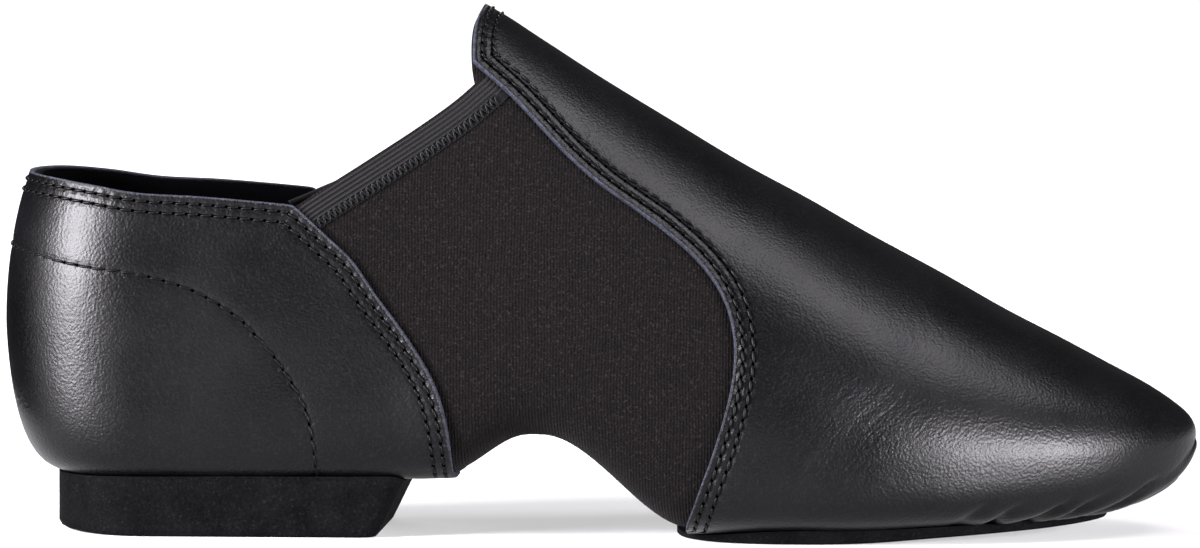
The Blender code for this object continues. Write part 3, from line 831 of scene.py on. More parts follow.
def knit_finish(sizes, colours):
    """Stretch knit with upright ribs, its colour a little darker in the grooves between them as painted
    shade.
    """
    finish = Finish("black_knit", colours.knit, 0.85, 0.02)
    split = finish.add("ShaderNodeSeparateXYZ", {"Vector": finish.place})
    drift = finish.calc("MULTIPLY", finish.noise(0.02, 1.0), 0.0012)
    across = finish.calc("ADD", split.outputs["X"], drift)
    wave = finish.calc("SINE", finish.calc("MULTIPLY", across, 2 * math.pi / sizes.wale))
    course = 2 * math.pi / (sizes.wale * 0.75)
    loops = finish.calc("SINE", finish.calc("MULTIPLY", split.outputs["Z"], course))
    height = finish.calc("MULTIPLY_ADD", loops, 0.06, wave)
    fuzz = finish.noise(0.0006, 4.0, 0.8)
    relief = finish.bump(height, 0.00005)
    relief = finish.bump(fuzz, 0.00016, relief)
    finish.paint("Normal", relief)
    fibre = finish.remap(finish.noise(0.0005, 2.0, 0.6), 0.56, 0.72, 0.0, 0.42)
    # Painted shade: the colour follows the ribs' height, darker in the grooves between them.
    share = finish.calc("MULTIPLY_ADD", wave, 0.11, fuzz)
    share = finish.calc("ADD", finish.remap(share, 0.28, 0.8, 0.0, 0.30), fibre)
    finish.paint("Base Color", finish.shades(share, colours.knit, 0.1, 6.0))
    finish.shader.inputs["Sheen Weight"].default_value = 0.01
    return finish.material


def elastic_finish(colours):
    """Woven elastic, slightly shiny, its colour painted lighter on the ribs and darker between them, as
    painted light and shade.
    """
    finish = Finish("black_elastic", colours.elastic, 0.65, 0.08)
    weave = finish.noise(0.0004, 2.0, 0.6)
    # Painted light and shade: the weave's colour follows the ribs, light on their tops and dark in the
    # grooves.
    painted_rib_shade = finish.calc("MULTIPLY", weave, finish.remap(finish.stored("rib"), 0.25, 0.9, 0.05, 1.6))
    finish.paint("Base Color", finish.shades(painted_rib_shade, colours.elastic, 0.05, 2.4))
    finish.paint("Normal", finish.bump(weave, 0.00008))
    finish.shader.inputs["Sheen Weight"].default_value = 0.01
    return finish.material


def even_finish(finish, colour, lumps, dark, depth):
    """Lets a finish's colour and relief follow one fine noise."""
    finish.paint("Base Color", finish.shades(lumps, colour, dark, 1.6))
    finish.paint("Normal", finish.bump(lumps, depth))
    return finish.material


def thread_finish(colours):
    """Sewing thread with a soft shine."""
    finish = Finish("black_thread", colours.thread, 0.45, 0.07)
    return even_finish(finish, colours.thread, finish.noise(0.0003, 2.0), 0.6, 0.00004)


def rubber_finish(colours):
    """Dusty rubber with fine specks."""
    finish = Finish("black_rubber", colours.rubber, 0.75, 0.015)
    specks = finish.noise(0.0007, 4.0, 0.75)
    dust = finish.noise(0.009, 5.0, 0.65)
    grit = finish.remap(finish.noise(0.0006, 2.0, 0.5), 0.58, 0.74, 0.0, 0.42)
    shade = finish.remap(finish.calc("MULTIPLY", specks, dust), 0.12, 0.42, 0.0, 0.4)
    shade = finish.calc("ADD", shade, grit)
    finish.paint("Base Color", finish.shades(shade, colours.rubber, 0.3, 7.0))
    finish.paint("Roughness", finish.remap(dust, 0.3, 0.7, 0.68, 0.85))
    finish.paint("Normal", finish.bump(specks, 0.0002))
    return finish.material


def lining_finish(colours):
    """The dull cloth inside the shoe."""
    finish = Finish("black_lining", colours.lining, 0.95, 0.01)
    return even_finish(finish, colours.lining, finish.noise(0.0006, 3.0, 0.6), 0.5, 0.0001)


def floor_finish(colours):
    """Pale paper."""
    finish = Finish("pale_paper", colours.floor, 0.9, 0.1)
    cloud = finish.noise(0.4, 2.0)
    finish.paint("Base Color", finish.shades(cloud, colours.floor, 0.99, 1.0))
    away = finish.length(finish.place)
    finish.shader.inputs["Emission Color"].default_value = (1.0, 1.0, 1.0, 1.0)
    finish.paint("Emission Strength", finish.remap(away, 0.20, 0.7, 0.47, 1.0))
    return finish.material


def material_named(name, make, *values):
    """A finish that several pieces share, made when it is first asked for."""
    return bpy.data.materials.get(name) or make(*values)


def leather_materials(shoe):
    """The leather's face and its cut edge."""
    face = material_named("black_leather", leather_finish, shoe.sizes, shoe.colours)
    return [face, material_named("cut_leather_edge", raw_edge_finish, shoe.colours)]


class Shoe:
    """The sizes and colours that the scene holds."""

    def __init__(self, context):
        self.sizes = context.scene.shoe_sizes
        self.colours = context.scene.shoe_colours
        self.studio = context.scene.shoe_studio


def vamp_edge(distance=0.0):
    """The vamp's rear edge seen from the side, from the ridge down, or a line inside it."""
    throat = edge(THROAT_LINE)[::-1]
    front = edge(VAMP_LINE)
    line = np.concatenate([throat[throat[:, 1] > front[0, 1]], front])
    return shifted(line, distance) if distance else line


def rear_ways(rises, side):
    """The ways of the vamp's rear edge at these rises."""
    line = on_last(vamp_edge(), side)
    order = line[:, 1].argsort()
    return np.interp(rises, line[order, 1], np.abs(line[order, 0]))


def upper_rises(side):
    """Rises from the widest line up to the ridge, closer together where the rear edge is level."""
    line = spread(on_last(vamp_edge(), side), REAR_EDGE_POINTS)[::-1, 1]
    line = np.maximum.accumulate(line[line > 0])
    steps = np.linspace(0, 1, VAMP_ROWS)
    level = np.interp(steps, np.linspace(0, 1, len(line)), line)
    rises = blend(steps, level, 0.5)
    return (rises - rises[0]) / (rises[-1] - rises[0])


def lower_rises():
    """Rises from the middle below up to the widest line, closer together below."""
    return -np.sin(np.linspace(1, 0, LOWER_ROWS) * QUARTER_TURN)


def waves(points, size, depth):
    """Soft uneven waves over a surface."""
    return np.array([noise.noise(Vector(point) / size) for point in points]) * depth


def fold_field(points):
    """For each point how far ahead of the fold and along it, how creased and how far inside."""
    line = edge(FOLD_LINE)
    off, index = nearest(points[:, [0, 2]], line)
    tangent = np.gradient(line, axis=0)[index]
    away = points[:, [0, 2]] - line[index]
    ahead = off * np.sign(away[:, 0] * tangent[:, 1] - away[:, 1] * tangent[:, 0])
    along = lengths_along(line)
    share = along[index] / along[-1]
    inside = smooth(share * 4) * smooth((1 - share) * 3)
    return ahead, along[index], np.exp(-((off / FOLD_REACH) ** 2)) * inside, inside


def fold_depths(ahead, inside):
    """How far the vamp sinks beside its fold."""
    depths = np.zeros(len(ahead))
    for fold in FOLDS:
        depths -= fold.depth * np.exp(-(((ahead - fold.ahead) / fold.width) ** 2))
    return depths * inside


def pleat_depths(points, rises):
    """Pleats where the leather is drawn in round the toe towards the sole."""
    middle = np.multiply(PLEAT_MIDDLE, (LENGTH, BALL_WIDTH))
    turn = np.arctan2(points[:, 1] - middle[1], points[:, 0] - middle[0])
    drift = np.array([noise.noise(Vector((angle * 2.5, 0, 7))) for angle in turn])
    pull = np.array([noise.noise(Vector((angle * 6, 5, 0))) for angle in turn])
    phase = np.abs(turn) + PLEAT_SLANT * points[:, 2]
    crease = np.abs(np.sin(phase * PLEAT_COUNT + drift * 2.5)) ** 0.6 - 0.75
    reach = smooth((-rises - 0.38 - 0.14 * pull) / 0.34)
    ahead = smooth((points[:, 0] / LENGTH - PLEAT_START) / 0.06)
    return PLEAT_DEPTH * crease * reach * ahead


def seam_pull(rim):
    """How far the double row of stitches along a cut edge pulls the leather in."""
    return PULL_DEPTH * np.exp(-(((rim - PULL_MIDDLE) / PULL_WIDTH) ** 2))


def vamp_cut():
    """The vamp's cut edge, from under the foot outside over the ridge to under it inside."""
    outer, inner = (spread(on_last(vamp_edge(), side), VAMP_CUT_POINTS) for side in (-1, 1))
    return skin(*np.concatenate([outer[::-1], inner[1:]]).T)


def counter_cut():
    """The counter's cut edge, from under the foot outside round the collar to the inside."""
    outer = spread(on_last(edge(COUNTER_LINE), -1), COUNTER_CUT_POINTS)
    collar = spread(collar_places(-outer[0, 0], COUNTER_COLUMNS), COLLAR_CUT_POINTS)
    return skin(*np.concatenate([outer[::-1], collar[1:-1], outer * (-1, 1)]).T)


class SHOE_OT_vamp(bpy.types.Operator):
    """The leather front of the upper, folded over the ball and pleated under the toe"""

    bl_idname = "shoe.vamp"
    bl_label = "Vamp"

    def execute(self, context):
        shoe = Shoe(context)
        form = bmesh.new()
        for side in (-1, 1):
            half = np.concatenate([lower_rises(), upper_rises(side)[1:]])
            start = rear_ways(half, side)[:, None]
            near = np.linspace(0, 1, VAMP_REAR_COLUMNS)[None]
            ahead = np.linspace(BODY_WAY, TIP_WAY, VAMP_FRONT_COLUMNS)[None, 1:]
            ahead = np.broadcast_to(ahead, (len(half), ahead.shape[1]))
            ways = np.concatenate([blend(start, BODY_WAY, near), ahead], axis=1)
            add_grid(form, skin(side * ways, half[:, None]))
        close(form)
        points = coordinates(form)
        rim = keep_rim(form, vamp_cut())
        ways = np.interp(points[:, 0], PLACE_X, PLACES) + HEEL_WAY
        rises = rise_at(np.where(points[:, 1] < 0, -ways, ways), points[:, 2])
        ahead, along, creased, inside = fold_field(points)
        depths = fold_depths(ahead, inside) + pleat_depths(points, rises)
        depths += waves(points, *VAMP_WAVES) - seam_pull(rim)
        move_out(form, depths)
        keep(form, seam=np.ones(len(points)))
        keep(form, fold_ahead=ahead, fold_along=along, creased=creased)
        piece = add_piece(form, "vamp_leather", leather_materials(shoe), ["vamp"])
        thicken(piece, shoe.sizes.leather)
        return {"FINISHED"}


def collar_rises(ways, lower=0.0):
    """The rises of the collar's edge at these ways, or of a line this far below it."""
    line = edge(COLLAR_LINE)

    def is_above(rises):
        point = skin(ways, rises)
        return point[..., 2] > np.interp(point[..., 0], *line.T) - lower

    return halved(np.zeros_like(ways), np.ones_like(ways), is_above)


def collar_places(reach, count, lower=0.0):
    """The collar's edge round the heel, between these ways outside and inside."""
    ways = np.linspace(-reach, reach, count)
    return np.stack([ways, collar_rises(ways, lower)], -1)


class SHOE_OT_counter(bpy.types.Operator):
    """The leather quarter round the heel"""

    bl_idname = "shoe.counter"
    bl_label = "Counter"

    def execute(self, context):
        shoe = Shoe(context)
        left = spread(on_last(edge(COUNTER_LINE), -1)[::-1], COUNTER_ROWS)
        right = left * (-1, 1)
        top = collar_places(-left[-1, 0], COUNTER_COLUMNS)
        bottom = np.linspace((left[0, 0], -1.0), (right[0, 0], -1.0), COUNTER_COLUMNS)
        places = patch(bottom, top, left, right)
        form = bmesh.new()
        add_grid(form, skin(places[..., 0], places[..., 1]))
        close(form)
        points = coordinates(form)
        rim = keep_rim(form, counter_cut())
        line = stiffener_line()
        seam, spot = nearest(points, line)
        depths = waves(points, *COUNTER_WAVES) - seam_pull(rim)
        depths -= SINGLE_PULL_DEPTH * np.exp(-((seam / SINGLE_PULL_WIDTH) ** 2))
        move_out(form, depths)
        keep(form, seam=seam, seam_along=lengths_along(line)[spot])
        piece = add_piece(form, "counter_leather", leather_materials(shoe), ["counter"])
        thicken(piece, shoe.sizes.leather)
        return {"FINISHED"}


def stiffener_line():
    """The row of stitches across the counter, round the back from side to side."""
    outer = on_last(edge(STIFFENER_LINE), -1)
    line = np.concatenate([outer[::-1], outer * (-1, 1)])
    return skin(*spread(line, SINGLE_ROW_POINTS).T)


def band_line(side):
    """The line of the elastic's top edge seen from one side."""
    line = edge(BAND_LINE)
    if side > 0:
        share = (line[:, 0] - line[0, 0]) / (line[-1, 0] - line[0, 0])
        line[:, 1] -= INNER_DIP * np.sin(math.pi * share)
    return line


def opening_places(side):
    """The opening's edge on one side, from the middle of the back to the throat."""
    band = on_last(band_line(side), side)
    ways = np.linspace(0, abs(band[0, 0]), OPENING_POINTS)
    collar = np.stack([side * ways, collar_rises(side * ways)], -1)
    return np.concatenate([collar[:-1], band])


class SHOE_OT_upper(bpy.types.Operator):
    """The stretch shell inside the leather, which shows as the gore on both sides"""

    bl_idname = "shoe.upper"
    bl_label = "Upper and gore"

    def execute(self, context):
        shoe = Shoe(context)
        form = bmesh.new()
        lower = GORE_CHANGE * (lower_rises() + 1)
        shares = np.concatenate([lower, np.linspace(GORE_CHANGE, 1, GORE_ROWS)[1:]])
        for side in (-1, 1):
            top = spread(opening_places(side), GORE_COLUMNS)
            rises = blend(-1.0, top[:, 1][None], shares[:, None])
            add_grid(form, skin(np.broadcast_to(top[:, 0], rises.shape), rises))
            throat = on_last(edge(THROAT_LINE), side)
            upper = np.linspace(top[-1, 1], 1, THROAT_ROWS)
            column = np.concatenate([rises[:, -1], upper[1:]])
            start = np.interp(column, throat[:, 1], np.abs(throat[:, 0]))
            start[: len(shares)] = abs(top[-1, 0])
            along = np.linspace(0, 1, FRONT_COLUMNS)
            ways = side * blend(start[:, None], TIP_WAY, along[None])
            add_grid(form, skin(ways, column[:, None]))
        close(form)
        move_out(form, np.full(len(form.verts), -shoe.sizes.knit_inset))
        knit = material_named("black_knit", knit_finish, shoe.sizes, shoe.colours)
        lining = material_named("black_lining", lining_finish, shoe.colours)
        piece = add_piece(form, "stretch_upper", [knit, lining], ["upper"])
        thicken(piece, shoe.sizes.knit, inner=1)
        return {"FINISHED"}


def band_places(side, along, across):
    """Places on the last of the elastic: along from 0 to 1 and across, in metres, from its top."""
    line = band_line(side)
    first = line[0] - line[1]
    last = line[-1] - line[-2]
    start = line[0] + first / np.linalg.norm(first) * BAND_TUCK
    end = line[-1] + last / np.linalg.norm(last) * BAND_TUCK
    line = np.concatenate([[start], line, [end]])
    lengths = lengths_along(line)
    at = along * lengths[-1]
    spot = rows_at(at, lengths, line)
    step = rows_at(at, lengths, np.gradient(line, axis=0))
    step /= np.linalg.norm(step, axis=-1)[..., None]
    below = np.stack([step[..., 1], -step[..., 0]], -1)
    spot = spot + below * across[..., None]
    way = way_at(spot[..., 0], spot[..., 1], side)
    return way, rise_at(way, spot[..., 1])


class SHOE_OT_bands(bpy.types.Operator):
    """The ribbed elastic along the top of each gore"""

    bl_idname = "shoe.bands"
    bl_label = "Elastic bands"

    def execute(self, context):
        shoe = Shoe(context)
        elastic = material_named("black_elastic", elastic_finish, shoe.colours)
        across = np.linspace(0, BAND_WIDTH, BAND_ROWS)
        along = np.linspace(0, 1, BAND_COLUMNS)
        grid = np.broadcast_arrays(along[None], across[:, None])
        ribs = 0.5 + 0.5 * np.cos(across / shoe.sizes.cord * 2 * math.pi)
        ribs = np.where(across < RIB_COUNT * shoe.sizes.cord, ribs, 0.35)
        height = RIB_HEIGHT * ribs - BAND_EDGE_DEPTH * np.exp(-((across / BAND_EDGE) ** 2))
        for side, name in SIDES:
            form = bmesh.new()
            points = skin(*band_places(side, *grid))
            add_grid(form, points)
            close(form)
            row = nearest(coordinates(form), points.reshape(-1, 3))[1] // BAND_COLUMNS
            move_out(form, height[row] - shoe.sizes.knit_inset + BAND_LIFT)
            keep(form, rib=ribs[row])
            piece = add_piece(
                form, f"ribbed_elastic_{name}", [elastic], [f"elastic_band_{name}"]
            )
            thicken(piece, shoe.sizes.knit, rim=0)
        return {"FINISHED"}


def underfoot(x, y):
    """Height of the last's underside over a spot of the floor."""
    place = np.interp(x, PLACE_X, PLACES)
    side = np.where(y < section_at(place).swing * BALL_WIDTH, -1, 1)
    shape = shape_at(side * (place + HEEL_WAY))
    out_side = np.abs((y - shape.middle) / shape.across)
    behind = np.clip((HEEL_MIDDLE - x) / HEEL_MIDDLE, 0.0, 1.0)
    power = 1 / HEEL_PLAN_POWER
    out = (behind ** (2 * power) + out_side ** (2 * power)) ** (HEEL_PLAN_POWER / 2)
    share = (behind ** (2 * power)) / np.maximum(out ** (2 * power), TINY)
    base = blend(shape.base, BACK_BASE, share)
    ratio = blend(shape.ratio, BACK_RATIO, share)
    widest = blend(shape.widest, BACK_WIDEST * THROAT_HEIGHT, share)
    turn = np.arccos(np.clip(out, 0.0, 1.0) ** (1 / base))
    return widest - (widest - shape.bottom) * np.sin(turn) ** (ratio * base)


def heel_outline(back, front, margin):
    """The heel block seen from above, between its back and its breast, drawn in by a margin."""
    turn = np.linspace(0, math.pi, HEEL_REAR_POINTS)
    section = section_at(0.0)
    half = np.where(turn < QUARTER_TURN, section.inner, section.outer) * BALL_WIDTH * HEEL_SHARE
    across = np.sign(np.cos(turn)) * np.abs(np.cos(turn)) ** HEEL_PLAN_POWER
    x = HEEL_MIDDLE - (HEEL_MIDDLE - back - margin) * np.sin(turn) ** HEEL_PLAN_POWER
    rear = np.stack([x, (half - margin) * across], -1)
    section = section_at(np.interp(front, PLACE_X, PLACES))
    corner = np.linspace(0, QUARTER_TURN, CORNER_POINTS)
    corners = []
    for side, half in ((-1, section.outer), (1, section.inner)):
        x = front - margin - BREAST_CORNER * (1 - np.sin(corner))
        across = half * BALL_WIDTH * HEEL_SHARE - margin - BREAST_CORNER * (1 - np.cos(corner))
        corners.append(np.stack([x, section.swing * BALL_WIDTH + side * across], -1))
    outer, inner = corners[0], corners[1][::-1]
    sides = [
        np.linspace(rear[-1], outer[0], HEEL_SIDE_POINTS)[1:-1],
        np.linspace(outer[-1], inner[0], BREAST_POINTS)[1:-1],
        np.linspace(inner[-1], rear[0], HEEL_SIDE_POINTS)[1:],
    ]
    return np.concatenate([rear, sides[0], outer, sides[1], inner, sides[2]])


def rings_form(rings):
    """A closed form of rings, each a closed outline with its first point repeated."""
    form = bmesh.new()
    first = np.broadcast_to(rings[0].mean(0), rings[0].shape)
    last = np.broadcast_to(rings[-1].mean(0), rings[-1].shape)
    add_grid(form, np.stack([first, *rings, last]))
    close(form)
    return form


def add_rubber(rings, name, shoe, node):
    """Makes a rubber piece of rings, with its sharp edges kept."""
    rubber = material_named("black_rubber", rubber_finish, shoe.colours)
    piece = add_piece(rings_form(rings), name, [rubber], [node])
    piece.data.set_sharp_from_angle(angle=SHARP_ANGLE)


class SHOE_OT_heel(bpy.types.Operator):
    """The rubber block under the heel"""

    bl_idname = "shoe.heel"
    bl_label = "Heel"

    def execute(self, context):
        rings = [self.level(height, margin) for margin, height in HEEL_RIM]
        levels = np.linspace(0.001, SEAT_HEIGHT - 0.001, HEEL_LEVELS)
        rings += [self.level(height, 0.0) for height in (0.0005, *levels)]
        top = self.level(SEAT_HEIGHT, 0.0)
        top[:, 2] = underfoot(*top[:, :2].T) - CLEARANCE
        rings.append(top)
        inside = self.level(SEAT_HEIGHT, 0.006)
        inside[:, 2] = SEAT_HEIGHT - CLEARANCE
        rings.append(inside)
        add_rubber(rings, "heel_block", Shoe(context), "heel")
        return {"FINISHED"}

    def level(self, height, margin):
        """The block's outline at a height."""
        low = max(1 - height / HEEL_ROUND_HEIGHT, 0.0)
        back = HEEL_SETBACK + HEEL_ROUND_LENGTH * (1 - math.sqrt(1 - low * low))
        front = HEEL_BREAST - BREAST_RAKE * max(1 - height / SEAT_HEIGHT, 0.0)
        outline = heel_outline(back, front, margin)
        return np.column_stack([outline, np.full(len(outline), height)])


def tread_outline(margin):
    """The forefoot outsole seen from above, drawn in by a margin."""
    along = -np.cos(np.linspace(0, math.pi, TREAD_POINTS))
    end = np.where(along < 0, TREAD_REAR, TREAD_FRONT)
    power = np.where(along < 0, TREAD_REAR_POWER, TREAD_FRONT_POWER)
    share = TREAD_SHARE * np.maximum(1 - np.abs(along) ** power, 0.0) ** (1 / power)
    x = blend(TREAD_WIDEST, end, np.abs(along)) * LENGTH
    section = section_at(np.interp(x, PLACE_X, PLACES))
    outer = np.stack([x, (section.swing - section.outer * share) * BALL_WIDTH], -1)
    inner = np.stack([x, (section.swing + section.inner * share) * BALL_WIDTH], -1)
    moved = moved_left(np.concatenate([outer, inner[::-1][1:]]), margin)
    moved[-1] = moved[0]
    return moved


def floor_lift(x):
    """How high the outsole's underside is over the floor."""
    section = section_at(np.interp(x, PLACE_X, PLACES))
    lift = np.maximum(bottom_of(section) - TREAD_TOP, 0.0)
    return np.where(x < SPRING_START * LENGTH, 0.0, lift)


class SHOE_OT_outsole(bpy.types.Operator):
    """The thin front half of the split sole"""

    bl_idname = "shoe.outsole"
    bl_label = "Outsole"

    def execute(self, context):
        rings = []
        for margin, lift in TREAD_RIM:
            outline = tread_outline(margin)
            rings.append(np.column_stack([outline, floor_lift(outline[:, 0]) + lift]))
        low = rings[-1][:, 2]
        high = np.maximum(underfoot(*outline.T) - CLEARANCE / 2, low)
        for share in (0.4, 0.8, 1.0):
            rings.append(np.column_stack([outline, blend(low, high, share)]))
        outline = tread_outline(0.006)
        rings.append(np.column_stack([outline, underfoot(*outline.T) - CLEARANCE / 2]))
        add_rubber(rings, "forefoot_outsole", Shoe(context), "outsole_forefoot")
        return {"FINISHED"}


class SHOE_OT_insole(bpy.types.Operator):
    """The cloth of the insole"""

    bl_idname = "shoe.insole"
    bl_label = "Insole"

    def execute(self, context):
        shoe = Shoe(context)
        lining = material_named("black_lining", lining_finish, shoe.colours)
        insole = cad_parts["insole"]
        insole.data.materials.clear()
        insole.data.materials.append(lining)
        return {"FINISHED"}


def surface_of(name):
    """What finds the nearest point of a finished piece."""
    piece = bpy.data.objects[name]
    form = bmesh.new()
    form.from_mesh(piece.data)
    tree = BVHTree.FromBMesh(form)
    form.free()
    return tree


def thread_form():
    """One stitch of unit size: a ball, with its poles along x."""
    form = bmesh.new()
    bmesh.ops.create_uvsphere(form, u_segments=8, v_segments=6, radius=0.5)
    bmesh.ops.rotate(
        form, verts=form.verts, cent=(0, 0, 0), matrix=Matrix.Rotation(QUARTER_TURN, 3, "Y")
    )
    return mesh_of(form, "stitch")


def centred(points):
    """Points with x from the shoe's middle, as the finished pieces have it."""
    return points - (LENGTH / 2, 0.0, 0.0)


def add_stitch(form, mesh, start, end, normal, width, lift):
    """Adds one stitch between two points of a surface."""
    along = end - start
    across = normal.cross(along).normalized() * width
    up = along.cross(across).normalized() * width
    middle = (start + end) / 2 + up * lift
    place = Matrix((along, across, up)).transposed().to_4x4()
    place.translation = middle
    mesh.transform(place)
    form.from_mesh(mesh)
    mesh.transform(place.inverted())


def sew(form, mesh, line, marks, tree, pitch, gap, width):
    """Adds a row of stitches along a line, laid on a surface, from mark to mark."""
    line = centred(line)
    marks = np.maximum.accumulate(marks) + np.arange(len(marks)) * TINY
    first_mark = math.ceil(marks[0] / pitch)
    for number in range(first_mark, int(marks[-1] / pitch)):
        ends = []
        for at in (number * pitch + gap / 2, (number + 1) * pitch - gap / 2):
            ends.append(tree.find_nearest(Vector(rows_at(at, marks, line)))[:2])
        (first, normal), (second, other) = ends
        if (second - first).length > 0.3 * pitch:
            aside = (second - first).cross(normal + other).normalized() * STITCH_SLANT
            ends = first + aside, second - aside
            add_stitch(form, mesh, *ends, normal + other, width, STITCH_LIFT)


def vamp_rows(distance):
    """A row of stitches along the vamp's edge, over the ridge from side to side."""
    outer, inner = (on_last(vamp_edge(distance), side) for side in (-1, 1))
    line = skin(*np.concatenate([outer[::-1], inner]).T)
    return line[line[:, 2] > VAMP_ROW_END]


def counter_rows(distance):
    """Rows of stitches along the collar and both front edges of the counter."""
    front = shifted(edge(COUNTER_LINE), -distance)
    outer = on_last(front, -1)
    outer = outer[outer[:, 1] > COUNTER_ROW_END]
    reach = -outer[0, 0]
    collar = collar_places(reach, COLLAR_ROW_POINTS, distance)
    collar = collar[np.abs(collar[:, 0]) < reach]
    line = np.concatenate([outer[::-1], collar, outer * (-1, 1)])
    return skin(*line.T)


class SHOE_OT_stitching(bpy.types.Operator):
    """All the seams of the leather and the elastic"""

    bl_idname = "shoe.stitching"
    bl_label = "Stitching"

    def execute(self, context):
        shoe = Shoe(context)
        sizes = shoe.sizes
        thread = material_named("black_thread", thread_finish, shoe.colours)
        stitch = thread_form()
        form = bmesh.new()
        vamp = surface_of("vamp_leather")
        counter = surface_of("counter_leather")
        for rows, cut, panel in (
            (vamp_rows, vamp_cut(), vamp),
            (counter_rows, counter_cut(), counter),
        ):
            for distance in (sizes.first_row, sizes.second_row):
                line = rows(distance)
                marks = lengths_along(cut)[nearest(line, cut)[1]]
                sew(form, stitch, line, marks, panel, sizes.pitch, STITCH_SPACE, sizes.thread)
        line = stiffener_line()
        marks = lengths_along(line)
        pitch, width = sizes.pitch * SINGLE_PITCH, sizes.thread * SINGLE_THREAD
        sew(form, stitch, line, marks, counter, pitch, SINGLE_SPACE, width)
        along = np.linspace(*ZIGZAG_SPAN, ZIGZAG_STEPS)
        low = np.arange(ZIGZAG_STEPS) % 2 == 0
        across = np.where(low, BAND_WIDTH + ZIGZAG_OVERLAP, ZIGZAG_TOP)
        width = sizes.thread * ZIGZAG_THREAD
        for side, name in SIDES:
            band = surface_of(f"ribbed_elastic_{name}")
            zigzag = centred(skin(*band_places(side, along, across)))
            for start, end in zip(zigzag[:-1], zigzag[1:]):
                first, normal = band.find_nearest(Vector(start))[:2]
                second, other = band.find_nearest(Vector(end))[:2]
                add_stitch(form, stitch, first, second, normal + other, width, ZIGZAG_LIFT)
        bpy.data.meshes.remove(stitch)
        bmesh.ops.translate(form, verts=form.verts, vec=(LENGTH / 2, 0, 0))
        add_piece(form, "stitching", [thread])
        return {"FINISHED"}


def add_light(name, place, size, power):
    """A soft light of a width and height, turned towards the shoe."""
    light = bpy.data.lights.new(name, "AREA")
    light.shape = "RECTANGLE"
    light.size, light.size_y = size
    light.energy = power
    light.color = LIGHT_COLOUR
    lamp = bpy.data.objects.new(name, light)
    lamp.location = place
    lamp.rotation_euler = (Vector(LIGHT_TARGET) - Vector(place)).to_track_quat("-Z", "Y").to_euler()
    bpy.context.scene.collection.objects.link(lamp)
    return lamp


def hide_from(piece, *rays):
    """Keeps a piece out of sight of these kinds of rays."""
    for ray in rays:
        setattr(piece, f"visible_{ray}", False)


def add_flag(place, size):
    """A black card across the x axis that only shows as a dark band in the leather's shine."""
    form = bmesh.new()
    turn = Matrix.Translation(place) @ Matrix.Rotation(QUARTER_TURN, 4, "Y")
    bmesh.ops.create_grid(form, x_segments=1, y_segments=1, size=0.5)
    bmesh.ops.scale(form, verts=form.verts, vec=(size[1], size[0], 1))
    bmesh.ops.transform(form, verts=form.verts, matrix=turn)
    finish = Finish("black_felt", (0.0, 0.0, 0.0), 1.0, 0.0)
    finish.paint("Base Color", finish.shades(finish.noise(0.01), (0.002,) * 3, 0.0, 1.0))
    flag = add_object(form, "flag", [finish.material])
    hide_from(flag, "camera", "shadow", "diffuse")
    return flag


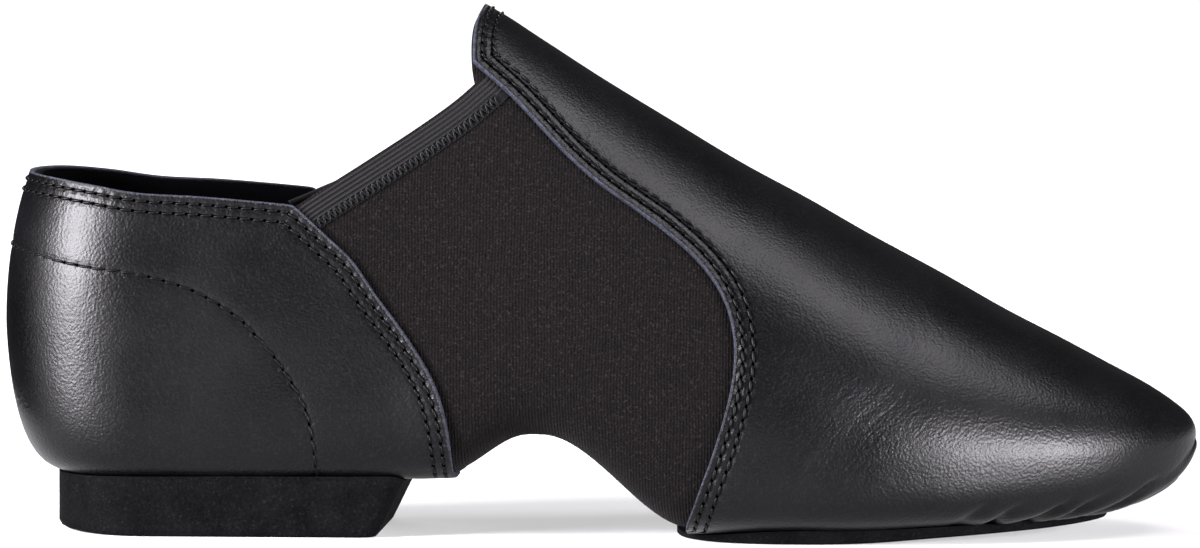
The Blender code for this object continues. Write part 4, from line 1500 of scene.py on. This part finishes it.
class SHOE_OT_studio(bpy.types.Operator):
    """The pale floor, the soft lights and the camera"""

    bl_idname = "shoe.studio"
    bl_label = "Studio"

    def execute(self, context):
        shoe = Shoe(context)
        studio = shoe.studio
        paper = floor_finish(shoe.colours)
        form = bmesh.new()
        bmesh.ops.create_grid(form, x_segments=1, y_segments=1, size=FLOOR_REACH)
        floor = add_object(form, "floor", [paper])
        form = bmesh.new()
        radii = {"radius1": BACKDROP_RADIUS, "radius2": BACKDROP_RADIUS}
        bmesh.ops.create_cone(form, segments=96, depth=FLOOR_REACH, **radii)
        backdrop = add_object(form, "backdrop", [paper])
        hide_from(backdrop, "diffuse", "glossy", "transmission", "shadow")
        world = bpy.data.worlds.new("studio")
        world.use_nodes = True
        sky = world.node_tree.nodes["Background"].inputs
        sky["Color"].default_value = (1, 1, 1, 1)
        sky["Strength"].default_value = SKY_STRENGTH
        context.scene.world = world
        add_light("overhead", (0.52, -0.10, 1.05), (0.55, 0.55), studio.key)
        add_light("left", (-1.05, -0.62, 0.42), (0.50, 0.9), studio.left)
        add_light("right", (1.0, -0.72, 0.19), (0.8, 0.34), studio.right)
        add_light("back", (-0.5, 1.2, 0.6), (0.9, 0.6), studio.back)
        add_flag(FLAG_PLACE, FLAG_SIZE)
        context.scene.view_settings.view_transform = "Standard"
        lens = bpy.data.cameras.new("camera")
        lens.lens = lens.sensor_width * studio.distance / studio.view_width
        lens.clip_end = VIEW_REACH * studio.distance
        camera = bpy.data.objects.new("camera", lens)
        flat = math.cos(studio.elevation)
        x, y = math.sin(studio.azimuth) * flat, -math.cos(studio.azimuth) * flat
        back = Vector((x, y, math.sin(studio.elevation)))
        camera.location = Vector((0, 0, studio.aim_height)) + back * studio.distance
        camera.rotation_euler = (-back).to_track_quat("-Z", "Y").to_euler()
        context.scene.collection.objects.link(camera)
        context.scene.camera = camera
        return {"FINISHED"}


OPERATORS = (
    SHOE_OT_upper,
    SHOE_OT_bands,
    SHOE_OT_vamp,
    SHOE_OT_counter,
    SHOE_OT_insole,
    SHOE_OT_heel,
    SHOE_OT_outsole,
    SHOE_OT_stitching,
    SHOE_OT_studio,
)


class SHOE_PT_panel(bpy.types.Panel):
    """Lists the shoe's pieces"""

    bl_idname = "SHOE_PT_panel"
    bl_label = "Jazz Shoe"
    bl_space_type = "VIEW_3D"
    bl_region_type = "UI"
    bl_category = "Jazz Shoe"

    def draw(self, context):
        for operator in OPERATORS:
            self.layout.operator(operator.bl_idname)


CLASSES = (ShoeSizes, ShoeColours, ShoeStudio, *OPERATORS, SHOE_PT_panel)


def register():
    """Adds the classes and the scene's settings."""
    for item in CLASSES:
        bpy.utils.register_class(item)
    bpy.types.Scene.shoe_sizes = PointerProperty(type=ShoeSizes)
    bpy.types.Scene.shoe_colours = PointerProperty(type=ShoeColours)
    bpy.types.Scene.shoe_studio = PointerProperty(type=ShoeStudio)


def unregister():
    """Takes them away again."""
    del bpy.types.Scene.shoe_studio
    del bpy.types.Scene.shoe_colours
    del bpy.types.Scene.shoe_sizes
    for item in reversed(CLASSES):
        bpy.utils.unregister_class(item)


def main():
    """Makes all pieces and the studio."""
    register()
    for operator in OPERATORS:
        group, name = operator.bl_idname.split(".")
        getattr(getattr(bpy.ops, group), name)()


if __name__ == "__main__":
    main()
